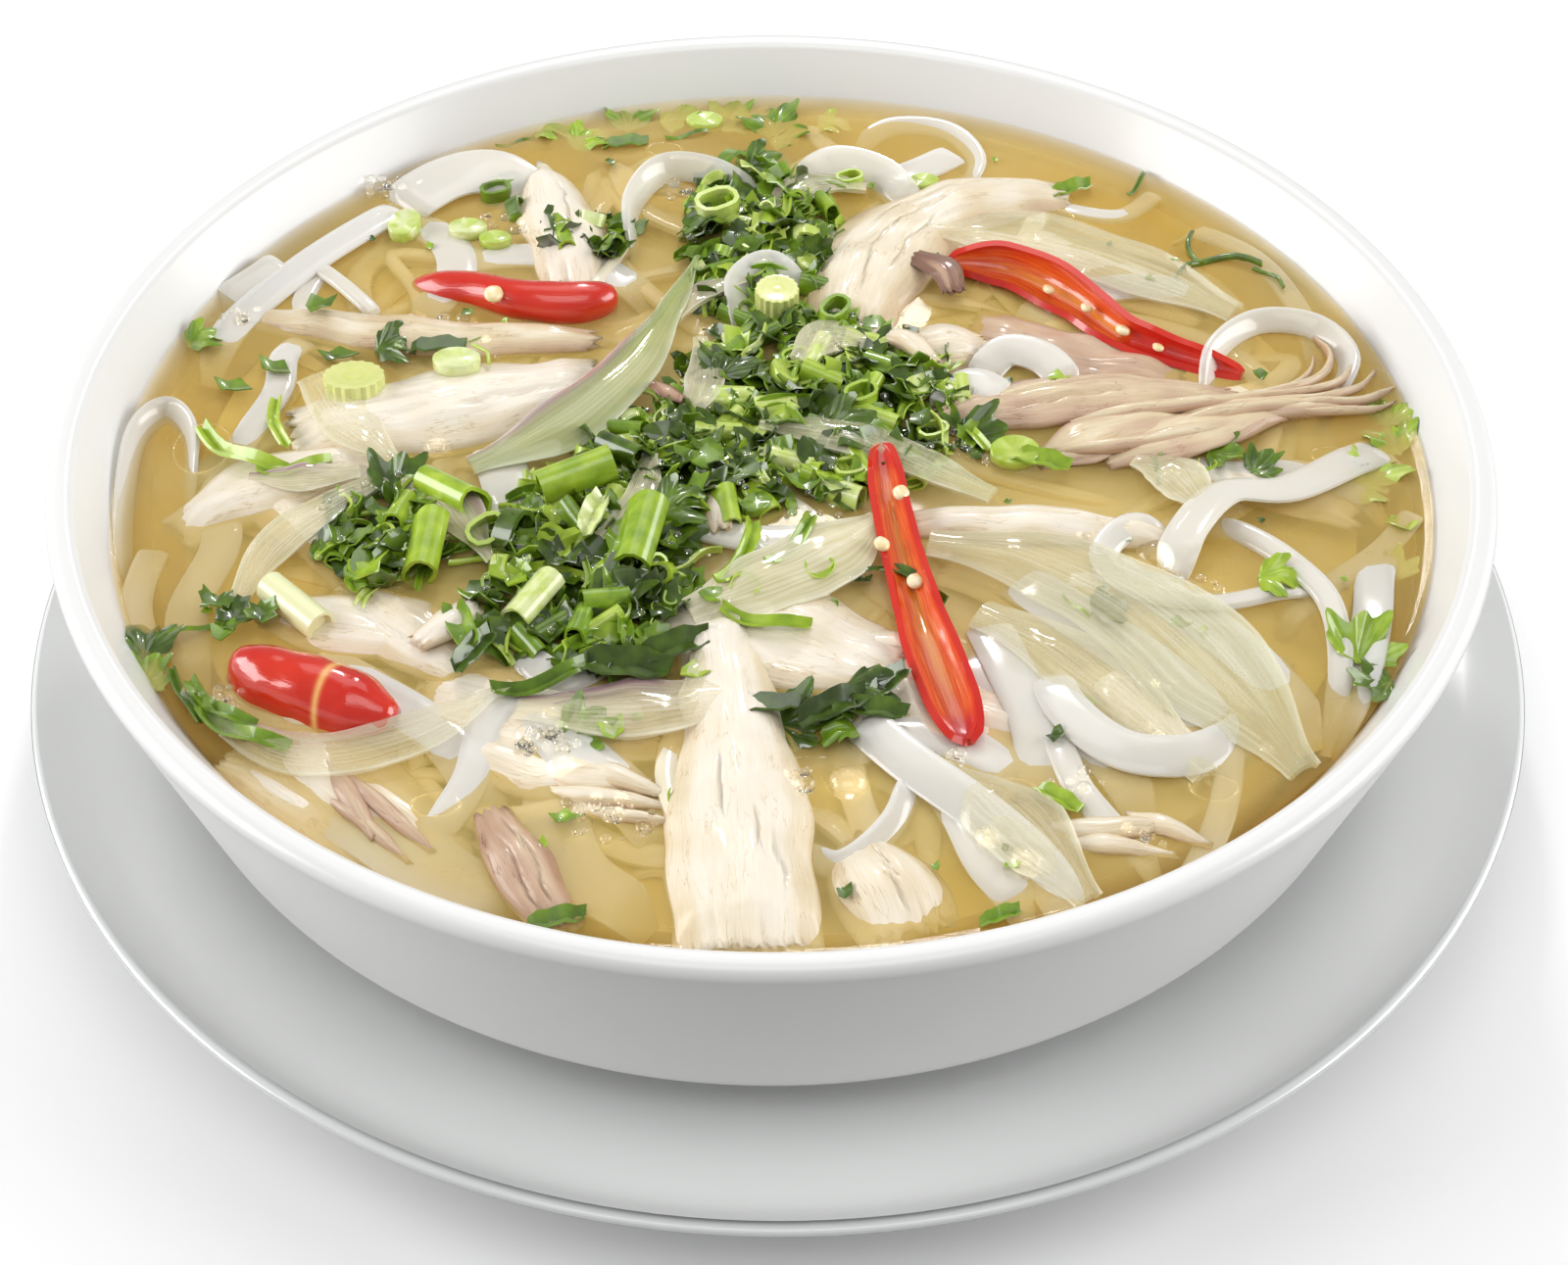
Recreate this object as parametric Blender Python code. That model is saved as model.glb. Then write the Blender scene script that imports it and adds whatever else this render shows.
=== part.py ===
"""Chicken noodle soup with herbs, onion and chilli in a round white bowl on its underplate.

Every size below is in millimetres. The origin is the centre of the underplate's foot, +Z is up,
and -Y is the side that faces the eater. Food pieces lie in the broth's surface: the upper pieces
are made first, and each lower piece is cut back from them by the clearance. Every food piece is
a function of grow, how far its surface is pushed out: 0 for the piece, CUT_CLEARANCE for the
cutter that makes room for it.
"""
import math
import random

import bmesh
import bpy
from mathutils import Matrix, Vector

MM = 0.001
CLEARANCE = 0.3
CUT_CLEARANCE = 0.45
MERGE_DISTANCE = 0.001
AXIS_MERGE_DISTANCE = 0.01
FLAT_ANGLE = math.radians(0.5)
SMOOTH_ANGLE = math.radians(40)
TURNED_SEGMENTS = 36
FOOT_FLARE = 1.0

# Underplate: its upper side rises through these points (radius, height) to the rim
PLATE_RADIUS = 121.8
PLATE_CENTRE_TOP = 7.0
PLATE_CENTRE_RADIUS = 68.0
PLATE_RISE = ((90.0, 10.8), (108.0, 15.8))
PLATE_RIM_TOP = 20.4
PLATE_RIM_WIDTH = 1.2
PLATE_RIM_HEIGHT = 1.4
PLATE_RIM_ROUNDING = 0.8
PLATE_UNDERSIDE = (104.0, 11.4)
PLATE_FOOT_TOP = 3.6
PLATE_FOOT_OUTER = 74.0
PLATE_FOOT_INNER = 69.0
PLATE_RECESS_TOP = 2.8

# Bowl, which stands a little off the underplate's centre with all that is in it
BOWL_CENTRE_X = -1.1
BOWL_WALL_AT_RIM = 111.2
BOWL_RIM_TOP = 62.0
BOWL_BELLY_RADIUS = 98.0
BOWL_BELLY_Z = 19.4
BOWL_BELLY_ROUNDING = 9.0
BOWL_FLOOR_TOP = 14.0
BOWL_FOOT_TOP = 11.6
BOWL_FOOT_OUTER = 56.0
BOWL_FOOT_INNER = 50.0
BOWL_RECESS_TOP = 10.0
LIP_WIDTH = 4.2
LIP_ROUNDING = 1.5

# Contents, in places measured from the bowl's own axis
SOUP_LEVEL = 53.0
SOUP_EDGE_RADIUS = 102.3
WALL_RADIUS_HALFWAY = 98.6
HALFWAY_Z = 44.0
FOOD_TOP = 57.2
WALL_RADIUS_AT_FLOOR = 80.0
INNER_CORNER = 26.0

# Noodle bundle: a mound on the bowl's floor, with humps where noodles rise out of the broth
NOODLE_RADIUS = 84.0
NOODLE_TOP = 43.0
NOODLE_EDGE_TOP = 38.0
NOODLE_HUMP_TOP = 55.6
NOODLE_HUMP_RADIUS = 11.0
NOODLE_WAVE = 1.2
NOODLE_SWELL = 1.4
NOODLE_WAVES = 5
NOODLE_SPIRAL = 6
NOODLE_UNDERSIDE = ((84, 30), (62, 14.8))
NOODLE_HUMPS = ((74, 27), (-60, 56), (-17, 72), (52, -56), (66, -8), (-44, -66))

# Herbs: chopped scallion and coriander, as overlapping mounds (x, y, radius x, radius y)
HERB_BOTTOM = 48.5
HERB_TOP = 56.4
HERB_REACH_UNEVENNESS = 0.12
HERB_HEIGHT_UNEVENNESS = (-0.1, 0.06)
HERB_ROUNDNESS = 0.6
HERBS = {
    "herb_heap": ((-2, 57, 14, 24), (8, 13, 25, 24), (-14, -2, 17, 17), (-28, -27, 17, 25)),
    "herb_bunch_left": ((-59, -19, 10, 13),),
    "herb_bunch_back": ((-33, 55, 7, 6),),
}

# Chicken: route points (x, y, z of the piece's middle), widths along it, thickness
CHICKEN = {
    "chicken_front": (((-8, -36, 51.5), (-5, -60, 52), (-4, -80, 52), (-4.5, -98, 52)), (13, 15, 20, 20), 9),
    "chicken_sheet": (((-13, -31, 53), (2, -37, 53), (15, -44, 52.6)), (7, 11, 8), 4),
    "chicken_left": (((-74, 8, 52), (-52, 12, 52.3), (-30, 18, 52)), (17, 20, 14), 9),
    "chicken_left_outer": (((-90, -15, 51), (-80, -7, 51.8), (-64, -1, 51.8)), (9, 14, 10), 7),
    "chicken_strip_back": (((-86, 36, 52), (-60, 31, 53), (-31, 30, 53)), (6, 9, 6), 5),
    "chicken_back": (((-42, 77, 51), (-37, 62, 52.3), (-34, 47, 52)), (9, 14, 11), 8),
    "chicken_fold": (((48, 72, 52), (30, 65, 52.5), (18, 50, 52.5), (12, 34, 52)), (10, 16, 20, 15), 9),
    "chicken_knob": (((20, 27, 52), (27, 28, 52), (34, 29, 52)), (9, 13, 9), 8),
    "chicken_dark_strip": (((29, 10, 53), (48, 15, 53.5), (71, 16, 53)), (9, 14, 7), 5),
    "chicken_fringe": (((43, -2, 53), (60, 5, 53.3), (80, 6, 53.3), (96, 9, 53)), (6, 14, 14, 6), 5.5),
    "chicken_strip_right": (((24, -15, 53), (40, -15.5, 53.3), (59, -18, 53)), (6, 8, 5), 5),
    "chicken_dark_front": (((-38, -77, 52.6), (-33, -86, 52.6), (-29, -94, 52)), (6, 8, 6), 5.5),
    "chicken_low_front": (((13, -81, 50.6), (16, -88, 50.8), (18, -94.5, 50.6)), (9, 13, 10), 7),
    "chicken_shreds_left": (((-60, -68, 52.5), (-56, -76, 52.8), (-48, -83, 52.5)), (5, 7, 6), 5),
    "chicken_shreds_front": (((-29, -68, 52.5), (-23, -71, 52.8), (-17, -72, 52.5)), (5, 9, 6), 5),
    "chicken_shreds_right": (((40, -78, 52.5), (48, -79, 52.8), (56, -79, 52.5)), (5, 8, 5), 5),
}

MEAT_SQUARENESS = 0.7
MEAT_END_THICKNESS = 0.55

# Onion slices: route points, widths along it, thickness; each is arched across its width
ONION = {
    "onion_leaf": (((-46, -3, 54.5), (-34, 5, 55), (-23, 19, 55.6), (-16, 36, 55.8), (-13, 50, 55)),
                   (2, 12, 11, 6, 2), 1.8),
    "onion_centre": (((0, 4, 55.4), (12, 2, 55.6), (22, -3, 55.2), (33, -9, 54.4)), (2, 10, 7, 3), 1.8),
    "onion_wide": (((-14, -36, 54.6), (0, -30, 55.2), (15, -22, 55)), (5, 17, 9), 1.8),
    "onion_left_upper": (((-72, 13, 55.9), (-66, 4, 55.9), (-60, -5, 54.6)), (3, 6, 3), 1.4),
    "onion_back_right": (((25, 59, 55.3), (45, 57, 54.2), (62, 49, 53.8), (75, 38, 53.2)), (3, 15, 13, 5), 2),
    "onion_purple": (((-35, -57, 53.6), (-21, -57, 54.4), (-6, -54, 55)), (4, 10, 4), 1.6),
    "onion_front_left": (((-79, -57, 53), (-66, -66, 53.8), (-50, -62, 54), (-38, -53, 54)), (3, 7, 8, 3), 1.8),
    "onion_left": (((-79, -35, 53.4), (-74, -21, 54.2), (-61, -8, 54.6)), (3, 8, 3), 1.6),
    "onion_petal": (((27, -23, 54), (52, -36, 54.2), (73, -66, 53)), (6, 19, 7), 2),
    "onion_petal_inner": (((31, -36, 53.6), (45, -47, 53.8), (61, -66, 53)), (6, 13, 5), 2),
    "onion_front": (((27, -71, 53.2), (34, -80, 53.8), (42, -90, 53)), (4, 12, 5), 1.8),
}
ONION_ARCH = 0.9
ONION_FULL_ARCH_WIDTH = 10.0
ONION_EDGE_THICKNESS = 0.2

# Chillies: route points, widths along it, wall as a part of the half width, roll of the open side
CHILLI_HALVES = {
    "chilli_back": (((33, 49, 54.2), (45, 46, 54.6), (56, 31, 54.2), (73, 22, 53.6)), (5, 7.5, 5.5, 3), 0.4, 0),
    "chilli_front": (((17, -3, 54.6), (20, -21, 54.4), (23, -44, 54.2), (27, -62, 54)), (3, 6, 7.5, 5), 0.4, 0),
    "chilli_left": (((-76, -51, 54.3), (-66, -53.5, 54.8), (-55, -57, 54)), (6, 10, 6), 0.4, 180),
}
POD_DEPTH = 0.36
CHILLI_TIP_ROUTE = ((-60, 47, 50.6), (-49, 42.5, 53), (-38, 37.5, 53.6), (-27, 39.5, 53.8))
CHILLI_TIP_WIDTHS = (6, 6.4, 6.2, 2.4)
ROUND_END_WIDTH = 0.35

# Scallion: two round slices and one white stem piece
SCALLION_SLICES = {"scallion_slice_left": (-67, 14, 4.3), "scallion_slice_back": (1, 36, 3.3)}
SCALLION_SLICE_HEIGHT = 3.0
SCALLION_SLICE_SIDES = 10
SCALLION_STEM_ROUTE = ((-73.5, -36.5, 54), (-70, -39.5, 54.2), (-66.5, -42.5, 54))
SCALLION_STEM_WIDTHS = (4.4, 5, 4.4)

# Colours (linear red, green, blue), roughness
PORCELAIN = ((0.82, 0.82, 0.81), 0.12)
BROTH = ((0.55, 0.36, 0.13), 0.08)
NOODLE = ((0.80, 0.76, 0.66), 0.3)
CHICKEN_MEAT = ((0.83, 0.72, 0.52), 0.45)
ONION_FLESH = ((0.74, 0.78, 0.55), 0.25)
CHILLI_RED = ((0.68, 0.03, 0.015), 0.2)
HERB_GREEN = ((0.05, 0.17, 0.02), 0.4)
SCALLION_GREEN = ((0.45, 0.62, 0.16), 0.3)


def clear_scene():
    for item in list(bpy.data.objects):
        bpy.data.objects.remove(item, do_unlink=True)


def make_material(name, finish):
    colour, roughness = finish
    material = bpy.data.materials.new(name)
    material.use_nodes = True
    shader = material.node_tree.nodes["Principled BSDF"]
    shader.inputs["Base Color"].default_value = (*colour, 1.0)
    shader.inputs["Roughness"].default_value = roughness
    shader.inputs["Metallic"].default_value = 0.0
    return material


def as_object(name, mesh_data):
    """Turn a bmesh, modelled in millimetres, into a named object in metres."""
    bmesh.ops.scale(mesh_data, vec=(MM, MM, MM), verts=mesh_data.verts)
    bmesh.ops.recalc_face_normals(mesh_data, faces=mesh_data.faces)
    bmesh.ops.triangulate(mesh_data, faces=mesh_data.faces)
    mesh = bpy.data.meshes.new(name)
    mesh_data.to_mesh(mesh)
    mesh_data.free()
    item = bpy.data.objects.new(name, mesh)
    bpy.context.collection.objects.link(item)
    return item


def dress(item, finish):
    item.data.shade_smooth()
    item.data.set_sharp_from_angle(angle=SMOOTH_ANGLE)
    item.data.materials.append(make_material(item.name, finish))


# ---- turned pieces -------------------------------------------------------------------------

def rounded(corners, steps):
    """Points (r, z) of an outline whose corners (r, z, radius) are rounded with arcs."""
    points = []
    for index, (r, z, radius) in enumerate(corners):
        here = Vector((r, z))
        if radius <= 0:
            points.append(here)
            continue
        before = (Vector(corners[index - 1][:2]) - here).normalized()
        after = (Vector(corners[index + 1][:2]) - here).normalized()
        half = before.angle(after) / 2
        centre = here + (before + after).normalized() * radius / math.sin(half)
        start = here + before * radius / math.tan(half) - centre
        turn = start.angle_signed(here + after * radius / math.tan(half) - centre)
        for step in range(steps + 1):
            arm = start.copy()
            arm.rotate(Matrix.Rotation(-turn * step / steps, 2))
            points.append(centre + arm)
    return points


def turned(corners, steps=2):
    """Spin an outline that starts and ends on the axis through a full turn."""
    mesh_data = bmesh.new()
    verts = [mesh_data.verts.new((p.x, 0, p.y)) for p in rounded(corners, steps)]
    edges = [mesh_data.edges.new(pair) for pair in zip(verts, verts[1:])]
    bmesh.ops.spin(mesh_data, geom=verts + edges, cent=(0, 0, 0), axis=(0, 0, 1),
                   angle=math.tau, steps=TURNED_SEGMENTS, use_duplicate=False)
    bmesh.ops.remove_doubles(mesh_data, verts=mesh_data.verts, dist=AXIS_MERGE_DISTANCE)
    return mesh_data


def underplate():
    corners = (
        (0, PLATE_CENTRE_TOP, 0),
        (PLATE_CENTRE_RADIUS, PLATE_CENTRE_TOP, 0),
        (*PLATE_RISE[0], 0),
        (*PLATE_RISE[1], 0),
        (PLATE_RADIUS - PLATE_RIM_WIDTH, PLATE_RIM_TOP, PLATE_RIM_ROUNDING),
        (PLATE_RADIUS, PLATE_RIM_TOP - PLATE_RIM_HEIGHT, PLATE_RIM_ROUNDING),
        (*PLATE_UNDERSIDE, 0),
        (PLATE_FOOT_OUTER + FOOT_FLARE, PLATE_FOOT_TOP, 0),
        (PLATE_FOOT_OUTER, 0, 0),
        (PLATE_FOOT_INNER, 0, 0),
        (PLATE_FOOT_INNER - FOOT_FLARE, PLATE_RECESS_TOP, 0),
        (0, PLATE_RECESS_TOP, 0),
    )
    return turned(corners, steps=1)


def bowl():
    foot_z = PLATE_CENTRE_TOP + CLEARANCE
    corners = (
        (0, BOWL_FLOOR_TOP, 0),
        (WALL_RADIUS_AT_FLOOR, BOWL_FLOOR_TOP, INNER_CORNER),
        (WALL_RADIUS_HALFWAY, HALFWAY_Z, 0),
        (BOWL_WALL_AT_RIM - LIP_WIDTH, BOWL_RIM_TOP, LIP_ROUNDING),
        (BOWL_WALL_AT_RIM, BOWL_RIM_TOP, LIP_ROUNDING),
        (BOWL_BELLY_RADIUS, BOWL_BELLY_Z, BOWL_BELLY_ROUNDING),
        (BOWL_FOOT_OUTER + 2 * FOOT_FLARE, BOWL_FOOT_TOP, 0),
        (BOWL_FOOT_OUTER, foot_z, 0),
        (BOWL_FOOT_INNER, foot_z, 0),
        (BOWL_FOOT_INNER - FOOT_FLARE, BOWL_RECESS_TOP, 0),
        (0, BOWL_RECESS_TOP, 0),
    )
    return turned(corners)


def broth(grow):
    floor = BOWL_FLOOR_TOP + CLEARANCE
    corners = (
        (0, SOUP_LEVEL, 0),
        (SOUP_EDGE_RADIUS - 2 * CLEARANCE, SOUP_LEVEL, 0),
        (WALL_RADIUS_HALFWAY - 2 * CLEARANCE, HALFWAY_Z, 0),
        (WALL_RADIUS_AT_FLOOR - 2 * CLEARANCE, floor, INNER_CORNER),
        (0, floor, 0),
    )
    return turned(corners)


# ---- food pieces ---------------------------------------------------------------------------

def along(points, amount):
    """A point at 0..1 along a smooth curve (Catmull-Rom) through the given points."""
    spans = len(points) - 1
    place = min(amount * spans, spans - 1e-6)
    index = int(place)
    t = place - index
    here = [Vector(points[min(max(index + k, 0), spans)]) for k in (-1, 0, 1, 2)]
    return 0.5 * (
        2 * here[1]
        + (here[2] - here[0]) * t
        + (2 * here[0] - 5 * here[1] + 4 * here[2] - here[3]) * t * t
        + (3 * here[1] - here[0] - 3 * here[2] + here[3]) * t * t * t
    )


def width_along(widths, amount):
    place = min(amount * (len(widths) - 1), len(widths) - 1 - 1e-6)
    index = int(place)
    t = place - index
    t = t * t * (3 - 2 * t)
    return widths[index] * (1 - t) + widths[index + 1] * t


LOOK_AHEAD = 0.02


def loft(route, widths, section, grow, stations=5, roll=0.0):
    """Sweep a closed section along a route. section(width, amount) gives (across, up) points."""
    mesh_data = bmesh.new()
    rings = []
    for station in range(stations + 1):
        amount = station / stations
        centre = along(route, amount)
        ahead = along(route, min(amount + LOOK_AHEAD, 1.0)) - along(route, max(amount - LOOK_AHEAD, 0.0))
        ahead.normalize()
        centre += ahead * grow * {0: -1, stations: 1}.get(station, 0)
        across = ahead.cross(Vector((0, 0, 1))).normalized()
        up = across.cross(ahead)
        turn = Matrix.Rotation(math.radians(roll), 3, ahead)
        across, up = turn @ across, turn @ up
        ring = []
        for side, height in section(width_along(widths, amount), amount):
            place = centre + across * side + up * height
            place.z = min(place.z, FOOD_TOP + grow)
            ring.append(mesh_data.verts.new(place))
        rings.append(ring)
    count = len(rings[0])
    for first, second in zip(rings, rings[1:]):
        for k in range(count):
            mesh_data.faces.new((first[k], first[(k + 1) % count], second[(k + 1) % count], second[k]))
    mesh_data.faces.new(rings[0])
    mesh_data.faces.new(list(reversed(rings[-1])))
    return mesh_data


def slab_section(thickness, grow, seed, sides=6, unevenness=0.08):
    """A torn strip of meat: a squarish oval, a little different at each place."""
    rng = random.Random(seed)

    def section(width, amount):
        taper = MEAT_END_THICKNESS + (1 - MEAT_END_THICKNESS) * math.sin(math.pi * min(max(amount, 0.12), 0.88))
        points = []
        for k in range(sides):
            angle = math.tau * (k + 0.5) / sides
            c, s = math.cos(angle), math.sin(angle)
            reach = 1 + rng.uniform(-unevenness, unevenness)
            across = math.copysign(abs(c) ** MEAT_SQUARENESS, c) * (width / 2 * reach + grow)
            up = math.copysign(abs(s) ** MEAT_SQUARENESS, s) * (thickness / 2 * taper * reach + grow)
            points.append((across, up))
        return points
    return section


def arch_section(thickness, grow, sides=3):
    """A thin curved slice, arched across its width."""
    def section(width, amount):
        upper = []
        lower = []
        for k in range(sides):
            t = 2 * k / (sides - 1) - 1
            edge = math.sqrt(max(1 - t * t, ONION_EDGE_THICKNESS))
            rise = ONION_ARCH * (1 - t * t) * min(width / ONION_FULL_ARCH_WIDTH, 1)
            across = t * (width / 2 + grow)
            half = thickness / 2 * edge + grow
            upper.append((across, rise + half))
            lower.append((across, rise - half))
        return upper + lower[::-1]
    return section


def channel_section(wall, grow, sides=5):
    """Half of a split pod: a wall round the lower half, open at the top; solid when grown."""
    def section(width, amount):
        depth = width * POD_DEPTH
        outer = []
        inner = []
        for k in range(sides):
            angle = math.pi + math.pi * k / (sides - 1)
            c, s = math.cos(angle), math.sin(angle)
            outer.append((c * (width / 2 + grow), s * (depth + grow)))
            inner.append((c * width / 2 * (1 - wall), s * depth * (1 - wall)))
        if grow:
            inner = [(-width / 2 - grow, grow), (width / 2 + grow, grow)]
        return outer + inner[::-1]
    return section


def round_section(grow, sides=7):
    def section(width, amount):
        close = ROUND_END_WIDTH if amount in (0.0, 1.0) else 1.0
        radius = width / 2 * close + grow
        return [(math.cos(math.tau * k / sides) * radius, math.sin(math.tau * k / sides) * radius)
                for k in range(sides)]
    return section


def chicken_piece(name, seed):
    route, widths, thickness = CHICKEN[name]
    return lambda grow: loft(route, widths, slab_section(thickness, grow, seed), grow)


def onion_slice(name):
    route, widths, thickness = ONION[name]
    return lambda grow: loft(route, widths, arch_section(thickness, grow), grow)


def chilli_half(name):
    route, widths, wall, roll = CHILLI_HALVES[name]
    return lambda grow: loft(route, widths, channel_section(wall, grow), grow, stations=8, roll=roll)


def chilli_tip(grow):
    return loft(CHILLI_TIP_ROUTE, CHILLI_TIP_WIDTHS, round_section(grow), grow)


def scallion_stem(grow):
    return loft(SCALLION_STEM_ROUTE, SCALLION_STEM_WIDTHS, round_section(grow), grow, stations=3)


def scallion_slice(name):
    x, y, radius = SCALLION_SLICES[name]

    def shape(grow):
        mesh_data = bmesh.new()
        centre = Matrix.Translation((x, y, FOOD_TOP - SCALLION_SLICE_HEIGHT / 2))
        bmesh.ops.create_cone(mesh_data, cap_ends=True, segments=SCALLION_SLICE_SIDES,
                              radius1=radius + grow, radius2=radius + grow,
                              depth=SCALLION_SLICE_HEIGHT + 2 * grow, matrix=centre)
        return mesh_data
    return shape


def mound(place, seed, grow):
    """A low uneven heap, from below the broth's surface to the herbs' top."""
    x, y, radius_x, radius_y = place
    rng = random.Random(seed)
    mesh_data = bmesh.new()
    bmesh.ops.create_uvsphere(mesh_data, u_segments=10, v_segments=5, radius=1)
    middle = (HERB_TOP + HERB_BOTTOM) / 2
    half = (HERB_TOP - HERB_BOTTOM) / 2
    for vert in mesh_data.verts:
        reach = 1 + rng.uniform(-HERB_REACH_UNEVENNESS, HERB_REACH_UNEVENNESS)
        height = 1 + rng.uniform(*HERB_HEIGHT_UNEVENNESS)
        up = math.copysign(abs(vert.co.z) ** HERB_ROUNDNESS, vert.co.z)
        vert.co = (
            x + vert.co.x * (radius_x * reach + grow),
            y + vert.co.y * (radius_y * reach + grow),
            middle + up * (half * height + grow),
        )
    return mesh_data


def herbs(mounds, seed):
    """Overlapping mounds joined into one solid."""
    def shape(grow):
        heap = as_object("herbs_so_far", mound(mounds[0], seed, grow))
        for offset, place in enumerate(mounds[1:], start=1):
            extra = as_object("herbs_extra", mound(place, seed + offset, grow))
            boolean(heap, extra, "UNION")
            bpy.data.objects.remove(extra, do_unlink=True)
        mesh_data = bmesh.new()
        mesh_data.from_mesh(heap.data)
        bpy.data.objects.remove(heap, do_unlink=True)
        bmesh.ops.scale(mesh_data, vec=(1 / MM, 1 / MM, 1 / MM), verts=mesh_data.verts)
        return mesh_data
    return shape


def noodle_top(x, y):
    """The height of the noodle bundle: a wavy mound, with humps that rise out of the broth."""
    reach = math.hypot(x, y) / NOODLE_RADIUS
    height = NOODLE_TOP + (NOODLE_EDGE_TOP - NOODLE_TOP) * reach ** 2
    height += NOODLE_WAVE * math.sin(NOODLE_WAVES * math.atan2(y, x) + NOODLE_SPIRAL * reach) * reach
    for hump_x, hump_y in NOODLE_HUMPS:
        away = math.hypot(x - hump_x, y - hump_y) / NOODLE_HUMP_RADIUS
        height += (NOODLE_HUMP_TOP - height) * math.exp(-(away ** 4))
    return height


def noodles(grow, rings=7, sectors=24):
    """One closed mound: the wavy top over an underside that follows the bowl."""
    mesh_data = bmesh.new()
    places = [(NOODLE_RADIUS * (k + 1) / rings, None) for k in range(rings)]
    places += NOODLE_UNDERSIDE
    loops = []
    for radius, height in places:
        ring = []
        for k in range(sectors):
            x, y = radius * math.cos(math.tau * k / sectors), radius * math.sin(math.tau * k / sectors)
            ring.append(mesh_data.verts.new((x, y, noodle_top(x, y) if height is None else height)))
        loops.append(ring)
    for first, second in zip(loops, loops[1:]):
        for k in range(sectors):
            mesh_data.faces.new((first[k], second[k], second[(k + 1) % sectors], first[(k + 1) % sectors]))
    summit = mesh_data.verts.new((0, 0, noodle_top(0, 0)))
    for k in range(sectors):
        mesh_data.faces.new((summit, loops[0][k], loops[0][(k + 1) % sectors]))
    mesh_data.faces.new(loops[-1])
    bmesh.ops.recalc_face_normals(mesh_data, faces=mesh_data.faces)
    bmesh.ops.triangulate(mesh_data, faces=mesh_data.faces)
    mesh_data.normal_update()
    for vert, shift in [(vert, vert.normal * grow * NOODLE_SWELL) for vert in mesh_data.verts]:
        vert.co += shift
    return mesh_data


# ---- cutting -------------------------------------------------------------------------------

def boolean(item, other, operation):
    """Apply a Boolean to item's own mesh, and keep only its largest closed body."""
    modifier = item.modifiers.new("cut", "BOOLEAN")
    modifier.operation = operation
    modifier.object = other
    bpy.context.view_layer.update()
    result = item.evaluated_get(bpy.context.evaluated_depsgraph_get())
    mesh_data = bmesh.new()
    mesh_data.from_mesh(result.to_mesh())
    result.to_mesh_clear()
    item.modifiers.remove(modifier)
    bmesh.ops.remove_doubles(mesh_data, verts=mesh_data.verts, dist=MERGE_DISTANCE * MM)
    bmesh.ops.dissolve_limit(mesh_data, angle_limit=FLAT_ANGLE, verts=mesh_data.verts,
                             edges=mesh_data.edges, use_dissolve_boundaries=False)
    bmesh.ops.dissolve_degenerate(mesh_data, edges=mesh_data.edges, dist=MERGE_DISTANCE * MM)
    keep_largest_body(mesh_data)
    bmesh.ops.triangulate(mesh_data, faces=mesh_data.faces)
    mesh_data.to_mesh(item.data)
    mesh_data.free()


def keep_largest_body(mesh_data):
    seen = set()
    bodies = []
    for first in mesh_data.verts:
        if first in seen:
            continue
        seen.add(first)
        body = [first]
        for vert in body:
            for edge in vert.link_edges:
                other = edge.other_vert(vert)
                if other not in seen:
                    seen.add(other)
                    body.append(other)
        bodies.append(body)
    bodies.sort(key=len)
    small = [vert for body in bodies[:-1] for vert in body]
    bmesh.ops.delete(mesh_data, geom=small, context="VERTS")


def boxes_meet(item, other):
    for axis in range(3):
        mine = [vert.co[axis] for vert in item.data.vertices]
        theirs = [vert.co[axis] for vert in other.data.vertices]
        if max(mine) < min(theirs) or max(theirs) < min(mine):
            return False
    return True


def make_food():
    """Make each food piece, top ones first, and cut it back from all the pieces before it."""
    plans = [("chilli_tip", chilli_tip, CHILLI_RED)]
    plans += [(name, chilli_half(name), CHILLI_RED) for name in CHILLI_HALVES]
    plans += [(name, scallion_slice(name), SCALLION_GREEN) for name in SCALLION_SLICES]
    plans.append(("scallion_stem", scallion_stem, SCALLION_GREEN))
    plans += [(name, onion_slice(name), ONION_FLESH) for name in ONION]
    plans += [(name, herbs(HERBS[name], seed), HERB_GREEN) for seed, name in enumerate(HERBS, start=40)]
    plans += [(name, chicken_piece(name, seed), CHICKEN_MEAT) for seed, name in enumerate(CHICKEN)]
    plans.append(("noodles", noodles, NOODLE))
    plans.append(("broth", broth, BROTH))
    cutters = []
    for name, shape, finish in plans:
        piece = as_object(name, shape(0.0))
        for cutter in cutters:
            if boxes_meet(piece, cutter):
                boolean(piece, cutter, "DIFFERENCE")
        dress(piece, finish)
        if shape is not broth:
            cutters.append(as_object(name + "_cutter", shape(CUT_CLEARANCE)))
    for cutter in cutters:
        bpy.data.objects.remove(cutter, do_unlink=True)


def main():
    clear_scene()
    dress(as_object("bowl", bowl()), PORCELAIN)
    make_food()
    for item in bpy.data.objects:
        item.location.x = BOWL_CENTRE_X * MM
    dress(as_object("underplate", underplate()), PORCELAIN)


main()
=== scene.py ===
"""Looks of the chicken noodle soup: a glazed bowl on its underplate, broth, flat rice noodles,
torn chicken, onion, herbs and chilli, each modelled in the place that its solid holds.

Places and sizes in the tables below are in millimetres, measured from the bowl's axis.
"""
import math
import random

import bmesh
import bpy
from mathutils import Matrix, Vector, noise


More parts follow.
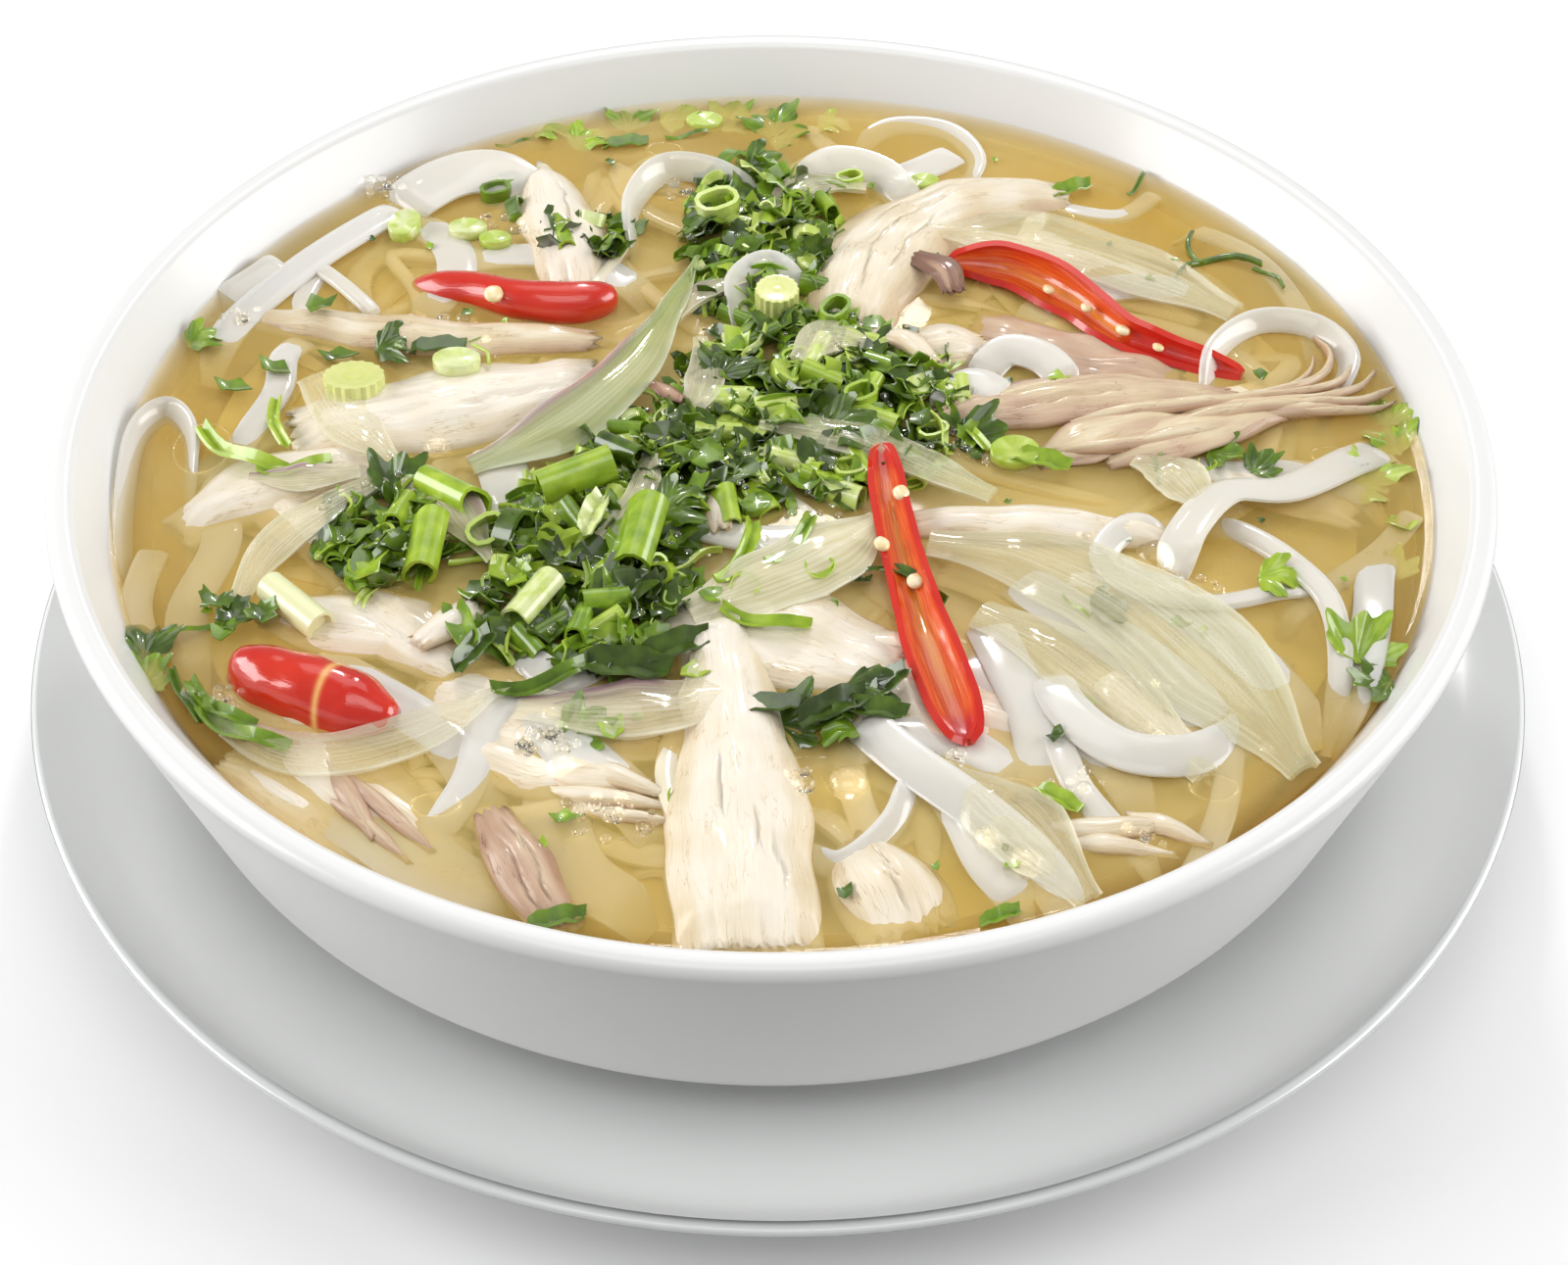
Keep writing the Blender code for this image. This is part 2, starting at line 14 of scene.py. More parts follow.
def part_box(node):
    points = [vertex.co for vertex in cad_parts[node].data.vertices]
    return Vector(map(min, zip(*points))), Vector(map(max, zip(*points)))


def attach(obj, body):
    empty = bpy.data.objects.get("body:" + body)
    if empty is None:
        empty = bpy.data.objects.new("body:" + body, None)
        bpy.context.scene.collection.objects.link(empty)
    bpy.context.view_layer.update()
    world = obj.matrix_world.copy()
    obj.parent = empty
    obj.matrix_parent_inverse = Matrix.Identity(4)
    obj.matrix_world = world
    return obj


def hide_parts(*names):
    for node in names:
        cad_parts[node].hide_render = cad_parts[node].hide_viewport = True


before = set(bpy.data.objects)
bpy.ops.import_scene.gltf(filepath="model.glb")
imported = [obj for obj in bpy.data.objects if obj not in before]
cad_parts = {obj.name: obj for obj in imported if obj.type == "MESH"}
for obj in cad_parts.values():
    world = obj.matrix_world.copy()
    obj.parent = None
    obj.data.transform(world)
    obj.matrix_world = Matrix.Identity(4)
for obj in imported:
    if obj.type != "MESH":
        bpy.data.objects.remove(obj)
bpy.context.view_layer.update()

MM = 0.001
UP = Vector((0, 0, 1))

# Driving sizes, from the frame
BOWL_LOW, BOWL_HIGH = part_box("bowl")
PLATE_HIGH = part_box("underplate")[1]
BROTH_LOW, BROTH_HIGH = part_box("broth")
BOWL_X = (BOWL_LOW[0] + BOWL_HIGH[0]) / 2
RIM_TOP = BOWL_HIGH[2]
RIM_RADIUS = (BOWL_HIGH[0] - BOWL_LOW[0]) / 2
FOOT_Z = BOWL_LOW[2]
PLATE_RADIUS = PLATE_HIGH[0]
SOUP_LEVEL = BROTH_HIGH[2]
SOUP_RADIUS = (BROTH_HIGH[0] - BROTH_LOW[0]) / 2


# ---- modelling helpers ----------------------------------------------------------------------

def deselect():
    if bpy.context.object and bpy.context.object.mode != "OBJECT":
        bpy.ops.object.mode_set(mode="OBJECT")
    bpy.ops.object.select_all(action="DESELECT")


def pick(piece):
    deselect()
    piece.select_set(True)
    bpy.context.view_layer.objects.active = piece


def named(name):
    """Name the primitive that was just added and bake its place into its mesh."""
    piece = bpy.context.active_object
    piece.name = name
    piece.data.name = name
    bpy.ops.object.transform_apply(location=True, rotation=True, scale=True)
    return piece


def open_edit(piece, mode="VERT"):
    """Start editing a piece with all of it selected."""
    pick(piece)
    bpy.ops.object.mode_set(mode="EDIT")
    bpy.ops.mesh.select_mode(type=mode)
    bpy.ops.mesh.select_all(action="SELECT")


def close_edit():
    """Turn every face outward and leave edit mode."""
    bpy.ops.mesh.select_all(action="SELECT")
    bpy.ops.mesh.normals_make_consistent(inside=False)
    bpy.ops.object.mode_set(mode="OBJECT")


def apply_modifier(piece, kind, **settings):
    pick(piece)
    modifier = piece.modifiers.new(kind.title(), kind)
    for key, value in settings.items():
        setattr(modifier, key, value)
    bpy.ops.object.modifier_apply(modifier=modifier.name)


def smooth(piece, angle=None):
    """Shade smooth, all over or only where faces meet below an angle in degrees."""
    pick(piece)
    if angle is None:
        bpy.ops.object.shade_smooth()
    else:
        bpy.ops.object.shade_smooth_by_angle(angle=math.radians(angle))


def thicken(piece, thickness, angle, offset=0.0):
    """Give a sheet its thickness, and shade it smooth below an angle in degrees."""
    apply_modifier(piece, "SOLIDIFY", thickness=thickness, offset=offset)
    smooth(piece, angle)


def sculpt(piece, rule):
    """Move every point by a rule, point by point."""
    for vert in piece.data.vertices:
        vert.co = rule(vert.co)
    piece.data.update()


def join(pieces, name):
    """Join finished copies into one piece."""
    deselect()
    for piece in pieces:
        piece.select_set(True)
    bpy.context.view_layer.objects.active = pieces[0]
    bpy.ops.object.join()
    whole = bpy.context.active_object
    whole.name = name
    whole.data.name = name
    return whole


def mark(piece, name, values):
    """Store one number a point, which the piece's material reads."""
    layer = piece.data.attributes.get(name) or piece.data.attributes.new(name, "FLOAT", "POINT")
    layer.data.foreach_set("value", values)


def tint(piece, value):
    mark(piece, "shade", [value] * len(piece.data.vertices))
    return piece


def copy_of(model, matrix, shade):
    """A copy of a model with its own mesh, its place in the mesh, and its own shade."""
    item = model.copy()
    item.data = model.data.copy()
    bpy.context.collection.objects.link(item)
    item.data.transform(matrix)
    return tint(item, shade)


def discard(*models):
    for model in models:
        bpy.data.objects.remove(model, do_unlink=True)


def wear(piece, material, nodes):
    """Give a finished piece its material, hang it under the root, and hide the parts of the frame that it
    stands for.
    """
    piece.data.materials.clear()
    piece.data.materials.append(material)
    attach(piece, "root")
    if nodes:
        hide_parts(*nodes)


def at(x, y, z):
    """A place in metres, from millimetres measured from the bowl's axis."""
    return Vector((BOWL_X + x * MM, y * MM, z * MM))


def ease(value, low, high):
    """0 below low, 1 above high, and a smooth step between."""
    t = min(max((value - low) / (high - low), 0.0), 1.0)
    return t * t * (3 - 2 * t)


def swell(value, rise, full, fade, gone):
    """0 up to rise, 1 from full to fade, and 0 again past gone."""
    return ease(value, rise, full) * (1 - ease(value, fade, gone))


def along(points, amount):
    """A point at 0..1 along a smooth curve (Catmull-Rom) through the given points."""
    spans = len(points) - 1
    place = min(max(amount * spans, 0.0), spans - 1e-6)
    index = int(place)
    t = place - index
    here = [Vector(points[min(max(index + k, 0), spans)]) for k in (-1, 0, 1, 2)]
    return 0.5 * (
        2 * here[1]
        + (here[2] - here[0]) * t
        + (2 * here[0] - 5 * here[1] + 4 * here[2] - here[3]) * t * t
        + (3 * here[1] - here[0] - 3 * here[2] + here[3]) * t * t * t
    )


def spot_in_disc(rng):
    """An evenly random place in a disc of radius 1."""
    turn, reach = rng.uniform(0, math.tau), math.sqrt(rng.random())
    return reach * math.cos(turn), reach * math.sin(turn)


def width_along(widths, amount):
    """A width at 0..1 along a piece, eased between the widths given."""
    place = min(amount * (len(widths) - 1), len(widths) - 1 - 1e-6)
    index = int(place)
    t = ease(place - index, 0, 1)
    return widths[index] * (1 - t) + widths[index + 1] * t


# How much of a noodle's length its end thins over
TIP_SHARE = 0.14


def route_curve(route, tilt, steps=7, tip=1.0, sink=0.0):
    """A guide curve through a route's points, turned about itself; its ends thin and sink."""
    guide = bpy.data.curves.new("guide", "CURVE")
    guide.dimensions = "3D"
    guide.twist_mode = "Z_UP"
    spline = guide.splines.new("POLY")
    count = steps * (len(route) - 1) + 1
    spline.points.add(count - 1)
    for index, point in enumerate(spline.points):
        amount = index / (count - 1)
        middle = ease(min(amount, 1 - amount), 0.0, TIP_SHARE)
        place = at(*along(route, amount)) - UP * (sink * (1 - middle) * MM)
        point.co = (*place, 1)
        point.tilt = math.radians(tilt[0] + (tilt[1] - tilt[0]) * amount)
        point.radius = tip + (1 - tip) * middle
    item = bpy.data.objects.new("guide", guide)
    bpy.context.collection.objects.link(item)
    return item


def bend(piece, route, tilt=(0.0, 0.0)):
    """Bend a straight piece, one unit long along +X, onto a route."""
    guide = route_curve(route, tilt)
    length = guide.data.splines[0].calc_length()
    piece.data.transform(Matrix.Diagonal((length, 1, 1, 1)))
    apply_modifier(piece, "CURVE", object=guide, deform_axis="POS_X")
    discard(guide)


def block(name, cuts):
    """A straight block from x = 0 to 1, and -1 to 1 across and up, cut evenly along each side."""
    deselect()
    bpy.ops.mesh.primitive_cube_add(size=1, location=(0.5, 0, 0), scale=(1, 2, 2))
    piece = named(name)
    cut_along(piece, cuts)
    return piece


def sheet(name, cuts, width=2.0, start=0.0):
    """A flat grid one unit long along +X, from its start, and centred across."""
    deselect()
    bpy.ops.mesh.primitive_grid_add(x_subdivisions=cuts[0], y_subdivisions=cuts[1], size=1,
                                    location=(start + 0.5, 0, 0))
    bpy.ops.transform.resize(value=(1, width, 1))
    return named(name)


def cut_along(piece, cuts):
    """Cut the edges that run along each axis evenly, as many times as is given for it."""
    open_edit(piece, "EDGE")
    for axis, number in enumerate(cuts):
        if number:
            pick_edges_along(piece, axis)
            bpy.ops.mesh.subdivide(number_cuts=number)
    close_edit()


def pick_edges_along(piece, axis):
    """Select the edges that run along an axis, in edit mode."""
    bpy.ops.mesh.select_all(action="DESELECT")
    mesh = bmesh.from_edit_mesh(piece.data)
    for edge in mesh.edges:
        run = edge.verts[1].co - edge.verts[0].co
        edge.select_set(abs(run[axis]) > 0.9 * run.length)
    bmesh.update_edit_mesh(piece.data)


def pick_faces_across(piece, axis):
    """Select the faces that an axis passes through squarely, in edit mode."""
    mesh = bmesh.from_edit_mesh(piece.data)
    for face in mesh.faces:
        face.select_set(abs(face.normal[axis]) > 0.9)
    bmesh.update_edit_mesh(piece.data)


def lay_grain(piece, along_size, across_size):
    """Keep each point's place on the straight piece as a UV map, so that patterns follow it."""
    layer = piece.data.uv_layers.new(name="grain")
    places = [vert.co.copy() for vert in piece.data.vertices]
    for loop in piece.data.loops:
        place = places[loop.vertex_index]
        layer.data[loop.index].uv = (place.x * along_size, (place.y + 0.6 * place.z) * across_size)


# ---- material helpers -----------------------------------------------------------------------

def new_material(name, roughness, **settings):
    """A material with its tree and shader; settings are shader inputs, with _ for each space."""
    material = bpy.data.materials.new(name)
    material.use_nodes = True
    shader = material.node_tree.nodes["Principled BSDF"]
    shader.inputs["Roughness"].default_value = roughness
    for key, value in settings.items():
        shader.inputs[key.replace("_", " ")].default_value = value
    return material, material.node_tree, shader


def feed(tree, value, socket):
    """Give a socket another socket's value, a colour or a number."""
    if isinstance(value, bpy.types.NodeSocket):
        tree.links.new(value, socket)
    elif isinstance(value, tuple):
        socket.default_value = (*value, 1)
    else:
        socket.default_value = value


def ramp(tree, source, stops):
    """A colour ramp over a 0..1 value: stops are (position, colour)."""
    item = tree.nodes.new("ShaderNodeValToRGB")
    band = item.color_ramp
    band.elements[0].position = stops[0][0]
    band.elements[0].color = (*stops[0][1], 1)
    band.elements[1].position = stops[-1][0]
    band.elements[1].color = (*stops[-1][1], 1)
    for position, colour in stops[1:-1]:
        band.elements.new(position).color = (*colour, 1)
    tree.links.new(source, item.inputs["Fac"])
    return item.outputs["Color"]


def blend_colour(tree, fac, first, second):
    item = tree.nodes.new("ShaderNodeMix")
    item.data_type = "RGBA"
    feed(tree, fac, item.inputs[0])
    feed(tree, first, item.inputs[6])
    feed(tree, second, item.inputs[7])
    return item.outputs[2]


def maths(tree, operation, first, second=0.0, third=0.0, clamp=False):
    item = tree.nodes.new("ShaderNodeMath")
    item.operation = operation
    item.use_clamp = clamp
    for index, value in enumerate((first, second, third)):
        feed(tree, value, item.inputs[index])
    return item.outputs[0]


def band(tree, source, low, high, out_low=0.0, out_high=1.0):
    """Map a value from one range to another, held at the ends."""
    item = tree.nodes.new("ShaderNodeMapRange")
    feed(tree, source, item.inputs["Value"])
    for key, value in (("From Min", low), ("From Max", high), ("To Min", out_low), ("To Max", out_high)):
        item.inputs[key].default_value = value
    return item.outputs["Result"]


def speckle(tree, scale, detail=3.0, stretch=(1, 1, 1), on="Object"):
    """Noise over a piece, on its own place or along its grain. Returns its 0..1 value."""
    mapping = tree.nodes.new("ShaderNodeMapping")
    mapping.inputs["Scale"].default_value = stretch
    if on == "grain":
        source = tree.nodes.new("ShaderNodeUVMap")
        source.uv_map = "grain"
        tree.links.new(source.outputs["UV"], mapping.inputs["Vector"])
    else:
        source = tree.nodes.new("ShaderNodeTexCoord")
        tree.links.new(source.outputs["Object"], mapping.inputs["Vector"])
    item = tree.nodes.new("ShaderNodeTexNoise")
    item.inputs["Scale"].default_value = scale
    item.inputs["Detail"].default_value = detail
    tree.links.new(mapping.outputs["Vector"], item.inputs["Vector"])
    return item.outputs["Fac"]


def stored(tree, name):
    """The number that mark() stored on a piece's points."""
    item = tree.nodes.new("ShaderNodeAttribute")
    item.attribute_name = name
    return item.outputs["Fac"]


def place_parts(tree):
    """The X, Y and Z of the place being shaded."""
    coords = tree.nodes.new("ShaderNodeTexCoord")
    split = tree.nodes.new("ShaderNodeSeparateXYZ")
    tree.links.new(coords.outputs["Object"], split.inputs[0])
    return split.outputs


def reach_from_origin(tree):
    """The distance of the place being shaded from the origin."""
    coords = tree.nodes.new("ShaderNodeTexCoord")
    reach = tree.nodes.new("ShaderNodeVectorMath")
    reach.operation = "LENGTH"
    tree.links.new(coords.outputs["Object"], reach.inputs[0])
    return reach.outputs["Value"]


def edge_on(tree, output, blend):
    """A mask that grows where the surface is seen edge on."""
    item = tree.nodes.new("ShaderNodeLayerWeight")
    item.inputs["Blend"].default_value = blend
    return item.outputs[output]


def relief(tree, shader, height, strength, distance):
    """Send a 0..1 height to the shader as small unevenness."""
    item = tree.nodes.new("ShaderNodeBump")
    item.inputs["Strength"].default_value = strength
    item.inputs["Distance"].default_value = distance
    tree.links.new(height, item.inputs["Height"])
    tree.links.new(item.outputs["Normal"], shader.inputs["Normal"])


BROTH_SHALLOW = (0.97, 0.78, 0.36)
BROTH_DEEP = (0.98, 0.70, 0.18)
# Depth at which the broth hides what is in it, how that varies, and how fast it sets in
FADE_DEPTH = 6.5 * MM
FADE_CLOUDS = (0.75, 1.35)
FADE_POWER = 0.6
SUNK_ROUGHNESS = 0.6
BROTH_VEIL = 0.34


def make_steeped_group():
    """What lies under the broth takes its colour with depth, and loses its shine."""
    group = bpy.data.node_groups.new("steeped", "ShaderNodeTree")
    for side, names in (("INPUT", ("Color", "Roughness", "Where")), ("OUTPUT", ("Color", "Roughness"))):
        for name in names:
            kind = "NodeSocketColor" if name == "Color" else "NodeSocketFloat"
            group.interface.new_socket(name, in_out=side, socket_type=kind)
    entry = group.nodes.new("NodeGroupInput")
    leave = group.nodes.new("NodeGroupOutput")
    below = maths(group, "SUBTRACT", SOUP_LEVEL, place_parts(group)["Z"])
    cloudy = band(group, speckle(group, 45, detail=2), 0.3, 0.7, *FADE_CLOUDS)
    depth = maths(group, "DIVIDE", maths(group, "MULTIPLY", below, cloudy), FADE_DEPTH, clamp=True)
    veil = maths(group, "MULTIPLY", maths(group, "POWER", depth, FADE_POWER), entry.outputs["Where"])
    wet = maths(group, "MULTIPLY", maths(group, "GREATER_THAN", below, 0.0), entry.outputs["Where"])
    broth = ramp(group, depth, ((0.0, BROTH_SHALLOW), (1.0, BROTH_DEEP)))
    group.links.new(blend_colour(group, veil, entry.outputs["Color"], broth), leave.inputs["Color"])
    dull = maths(group, "MULTIPLY", wet, SUNK_ROUGHNESS)
    group.links.new(maths(group, "MAXIMUM", entry.outputs["Roughness"], dull), leave.inputs["Roughness"])
    return group


STEEPED = make_steeped_group()


def steep(tree, shader, colour, roughness, where=1.0):
    """Send a colour and a roughness through the broth's veil to the shader."""
    item = tree.nodes.new("ShaderNodeGroup")
    item.node_tree = STEEPED
    feed(tree, colour, item.inputs["Color"])
    feed(tree, roughness, item.inputs["Roughness"])
    feed(tree, where, item.inputs["Where"])
    tree.links.new(item.outputs["Color"], shader.inputs["Base Color"])
    tree.links.new(item.outputs["Roughness"], shader.inputs["Roughness"])


# ---- bowl, underplate and broth -------------------------------------------------------------

# How many steps an arc takes round a corner
ARC_STEPS = 6


def rounded(corners):
    """Points (r, z) of an outline whose corners (r, z, radius) are rounded with arcs."""
    points = []
    for index, (r, z, radius) in enumerate(corners):
        here = Vector((r, z))
        if radius <= 0:
            points.append(here)
            continue
        before = (Vector(corners[index - 1][:2]) - here).normalized()
        after = (Vector(corners[index + 1][:2]) - here).normalized()
        half = before.angle(after) / 2
        centre = here + (before + after).normalized() * radius / math.sin(half)
        start = here + before * radius / math.tan(half) - centre
        turn = start.angle_signed(here + after * radius / math.tan(half) - centre)
        for step in range(ARC_STEPS + 1):
            arm = start.copy()
            arm.rotate(Matrix.Rotation(-turn * step / ARC_STEPS, 2))
            points.append(centre + arm)
    return points


# The small flat disc in the middle that a turned piece starts and ends on
AXIS_HOLE = 6.0


def turned(name, corners, centre_x, segments):
    """Grow a circle ring by ring along an outline (mm) that starts and ends near the axis."""
    deselect()
    outline = [(point.x * MM, point.y * MM) for point in rounded(corners)]
    r_now, z_now = outline[0]
    bpy.ops.mesh.primitive_circle_add(vertices=segments, radius=r_now, fill_type="NGON",
                                      location=(0, 0, z_now))
    piece = named(name)
    open_edit(piece, "EDGE")
    bpy.ops.mesh.region_to_loop()
    for r, z in outline[1:]:
        bpy.ops.mesh.extrude_edges_move(TRANSFORM_OT_translate={"value": (0, 0, z - z_now)})
        bpy.ops.transform.resize(value=(r / r_now, r / r_now, 1), center_override=(0, 0, z))
        r_now, z_now = r, z
    bpy.ops.mesh.edge_face_add()
    bpy.ops.mesh.select_all(action="SELECT")
    bpy.ops.transform.translate(value=(centre_x, 0, 0))
    close_edit()
    smooth(piece, 40)
    return piece


# The bowl's inside: its floor, and a place on its wall with the wall's lean there
BOWL_FLOOR_RADIUS = 80.0
BOWL_FLOOR_Z = 14.0
INNER_WALL_RADIUS = 98.6
INNER_WALL_Z = 44.0
INNER_WALL_SLOPE = 0.467
# The bowl's outside: lip, belly (radius, height, rounding), foot ring and the recess in it
LIP_WIDTH = 4.6
LIP_ROUNDING = 1.9
BELLY = (98.0, 19.4, 9)
FOOT_TOP = (58.0, 11.6, 3)
FOOT_OUTER = 56.0
FOOT_INNER = 50.0
FOOT_ROUNDING = 0.6
BOWL_RECESS_Z = 10.0
# The broth veils the inner wall above this height, and this far into the wall
VEIL_BOTTOM = 24.0
WALL_MARGIN = 2.0
# How far the broth reaches into the bowl, and each glaze past its solid's edge
BROTH_OVERLAP = 0.6
BOWL_GLAZE = 1.2
PLATE_GLAZE = 0.7
# The underplate's flat well and the recess in its foot ring
PLATE_WELL_RADIUS = 68.0
PLATE_WELL_Z = 7.0
PLATE_RECESS_Z = 2.8
# The broth is clearer from here to here beyond its edge at the top, by this much
CLEAR_START = 9.0
CLEAR_END = 15.0
CLEAR_SHARE = 0.12


def glaze_material():
    """White glaze; the inside of the wall is veiled where the broth covers it."""
    material, tree, shader = new_material("bowl glaze", 0.28, Coat_Weight=0.25, Coat_Roughness=0.16)
    clouds = speckle(tree, 14, detail=2)
    body = ramp(tree, clouds, ((0.35, (0.80, 0.797, 0.785)), (0.65, (0.825, 0.822, 0.81))))
    parts = place_parts(tree)
    from_axis = maths(tree, "SUBTRACT", parts["X"], BOWL_X)
    radius = maths(tree, "SQRT", maths(tree, "ADD", maths(tree, "POWER", from_axis, 2.0),
                                       maths(tree, "POWER", parts["Y"], 2.0)))
    wall = maths(tree, "MULTIPLY_ADD", maths(tree, "SUBTRACT", parts["Z"], INNER_WALL_Z * MM),
                 INNER_WALL_SLOPE, (INNER_WALL_RADIUS + WALL_MARGIN) * MM)
    inside = maths(tree, "LESS_THAN", radius, wall)
    above_floor = maths(tree, "GREATER_THAN", parts["Z"], VEIL_BOTTOM * MM)
    steep(tree, shader, body, 0.28, maths(tree, "MULTIPLY", inside, above_floor))
    relief(tree, shader, speckle(tree, 120, detail=2), 0.04, 0.3 * MM)
    return material


def plate_material():
    """The underplate's glaze, a little greyer and shinier than the bowl's."""
    material, tree, shader = new_material("underplate glaze", 0.18, Coat_Weight=0.5, Coat_Roughness=0.06)
    clouds = speckle(tree, 12, detail=2)
    body = ramp(tree, clouds, ((0.35, (0.72, 0.732, 0.726)), (0.65, (0.75, 0.762, 0.756))))
    tree.links.new(body, shader.inputs["Base Color"])
    relief(tree, shader, speckle(tree, 120, detail=2), 0.04, 0.3 * MM)
    return material


def broth_material():
    """A thin golden veil with a wet shine, clearer where it is shallow by the wall."""
    material, tree, shader = new_material("broth", 0.03, IOR=1.33)
    clouds = speckle(tree, 40, detail=4)
    colour = ramp(tree, clouds, ((0.3, (0.95, 0.68, 0.16)), (0.7, (0.98, 0.79, 0.31))))
    tree.links.new(colour, shader.inputs["Base Color"])
    middle = band(tree, reach_from_origin(tree), SOUP_RADIUS + CLEAR_START * MM, SOUP_RADIUS + CLEAR_END * MM,
                  1.0, CLEAR_SHARE)
    veil = maths(tree, "MULTIPLY_ADD", edge_on(tree, "Fresnel", 0.25), 0.5, BROTH_VEIL, clamp=True)
    tree.links.new(maths(tree, "MULTIPLY", veil, middle), shader.inputs["Alpha"])
    relief(tree, shader, speckle(tree, 75, detail=2), 0.10, 0.6 * MM)
    return material


def make_bowl():
    """The bowl: floor, inner wall, lip, outer wall, belly, foot ring and the recess inside it."""
    rim = RIM_RADIUS / MM + BOWL_GLAZE
    top = RIM_TOP / MM
    foot = FOOT_Z / MM
    corners = (
        (AXIS_HOLE, BOWL_FLOOR_Z, 0),
        (BOWL_FLOOR_RADIUS, BOWL_FLOOR_Z, 26),
        (INNER_WALL_RADIUS, INNER_WALL_Z, 60),
        (rim - LIP_WIDTH, top, LIP_ROUNDING),
        (rim, top, LIP_ROUNDING),
        BELLY,
        FOOT_TOP,
        (FOOT_OUTER, foot, FOOT_ROUNDING),
        (FOOT_INNER, foot, FOOT_ROUNDING),
        (FOOT_INNER - 1.0, BOWL_RECESS_Z, 0.8),
        (AXIS_HOLE, BOWL_RECESS_Z, 0),
    )
    piece = turned("bowl_glazed", corners, BOWL_X, segments=192)
    wear(piece, glaze_material(), ("bowl",))


def make_plate():
    """The underplate: well, rise, rolled rim, underside, foot ring and the recess inside it."""
    rim = PLATE_RADIUS / MM + PLATE_GLAZE
    corners = (
        (AXIS_HOLE, PLATE_WELL_Z, 0),
        (PLATE_WELL_RADIUS, PLATE_WELL_Z, 60),
        (90.0, 10.8, 80),
        (rim - 5.0, 18.2, 20),
        (rim - 3.4, 19.6, 1.2),
        (rim - 0.6, 20.4, 1.1),
        (rim - 0.1, 18.9, 1.0),
        (104.0, 11.4, 60),
        (75.0, 3.6, 4),
        (74.0, 0.0, 0.7),
        (69.0, 0.0, 0.7),
        (68.0, PLATE_RECESS_Z, 0.8),
        (AXIS_HOLE, PLATE_RECESS_Z, 0),
    )
    piece = turned("underplate_glazed", corners, 0.0, segments=192)
    wear(piece, plate_material(), ("underplate",))


def make_broth():
    """The whole body of broth, reaching just into the wall, with a small rise at the wall."""
    level = SOUP_LEVEL / MM
    edge = SOUP_RADIUS / MM
    corners = (
        (AXIS_HOLE, level, 0),
        (edge - 3.0, level, 0),
        (edge - 1.0, level + 0.12, 0),
        (edge + 0.9, level + 0.7, 0),
        (INNER_WALL_RADIUS + BROTH_OVERLAP, INNER_WALL_Z, 0),
        (BOWL_FLOOR_RADIUS + BROTH_OVERLAP, BOWL_FLOOR_Z - BROTH_OVERLAP, 26),
        (AXIS_HOLE, BOWL_FLOOR_Z - BROTH_OVERLAP, 0),
    )
    piece = turned("broth_clear", corners, BOWL_X, segments=128)
    wear(piece, broth_material(), ("broth",))


# ---- camera, light and floor ----------------------------------------------------------------

# Degrees, metres and millimetres of lens
CAMERA_ELEVATION = 43.77
CAMERA_DISTANCE = 0.400
CAMERA_TARGET = (0.0009, -0.0486, RIM_TOP)
CAMERA_LENS = 64.4
CAMERA_ROLL = 0.34

# Area lights: name, place, size, power
LIGHT_AIM = (0, 0, 0.05)
LIGHTS = (
    ("front softbox", (0, -0.35, 0.80), (0.70, 0.40), 1.7),
    ("back softbox", (0, 0.40, 0.75), (0.70, 0.40), 1.0),
    ("left softbox", (-0.75, 0, 0.30), (0.70, 0.45), 6.0),
    ("right softbox", (0.75, 0, 0.30), (0.70, 0.45), 5.2),
    ("small softbox", (0.01, 0.63, 0.57), (0.09, 0.09), 1.3),
)
ROOM_LIGHT = 0.28

FLOOR_RADIUS = 3.0
FLOOR_Z = -0.0001
# The camera sees the floor pale, but it throws back only this much light
FLOOR_BOUNCE = (0.35, 0.35, 0.35)


def set_camera():
    """Look down at the soup from the front."""
    deselect()
    tilt = math.radians(CAMERA_ELEVATION)
    back = Vector((0, -math.cos(tilt), math.sin(tilt)))
    place = Vector(CAMERA_TARGET) + back * CAMERA_DISTANCE
    turn = Matrix.Rotation(math.pi / 2 - tilt, 3, "X") @ Matrix.Rotation(math.radians(CAMERA_ROLL), 3, "Z")
    bpy.ops.object.camera_add(location=place, rotation=turn.to_euler())
    camera = bpy.context.object
    camera.data.sensor_width = 36
    camera.data.sensor_fit = "HORIZONTAL"
    camera.data.lens = CAMERA_LENS
    camera.data.clip_start = 0.01
    bpy.context.scene.camera = camera


def soft_light(name, place, size, power):
    """A rectangular softbox that faces the dish."""
    deselect()
    turn = (Vector(LIGHT_AIM) - Vector(place)).to_track_quat("-Z", "Y").to_euler()
    bpy.ops.object.light_add(type="AREA", location=place, rotation=turn)
    light = bpy.context.object
    light.name = name
    light.data.shape = "RECTANGLE"
    light.data.size, light.data.size_y = size
    light.data.energy = power


def set_light():
    """The softboxes and an even white room."""
    for plan in LIGHTS:
        soft_light(*plan)
    world = bpy.data.worlds.new("studio")
    bpy.context.scene.world = world
    world.use_nodes = True
    background = world.node_tree.nodes["Background"]
    background.inputs["Color"].default_value = (1, 1, 1, 1)
    background.inputs["Strength"].default_value = ROOM_LIGHT
    bpy.context.scene.view_settings.view_transform = "Standard"


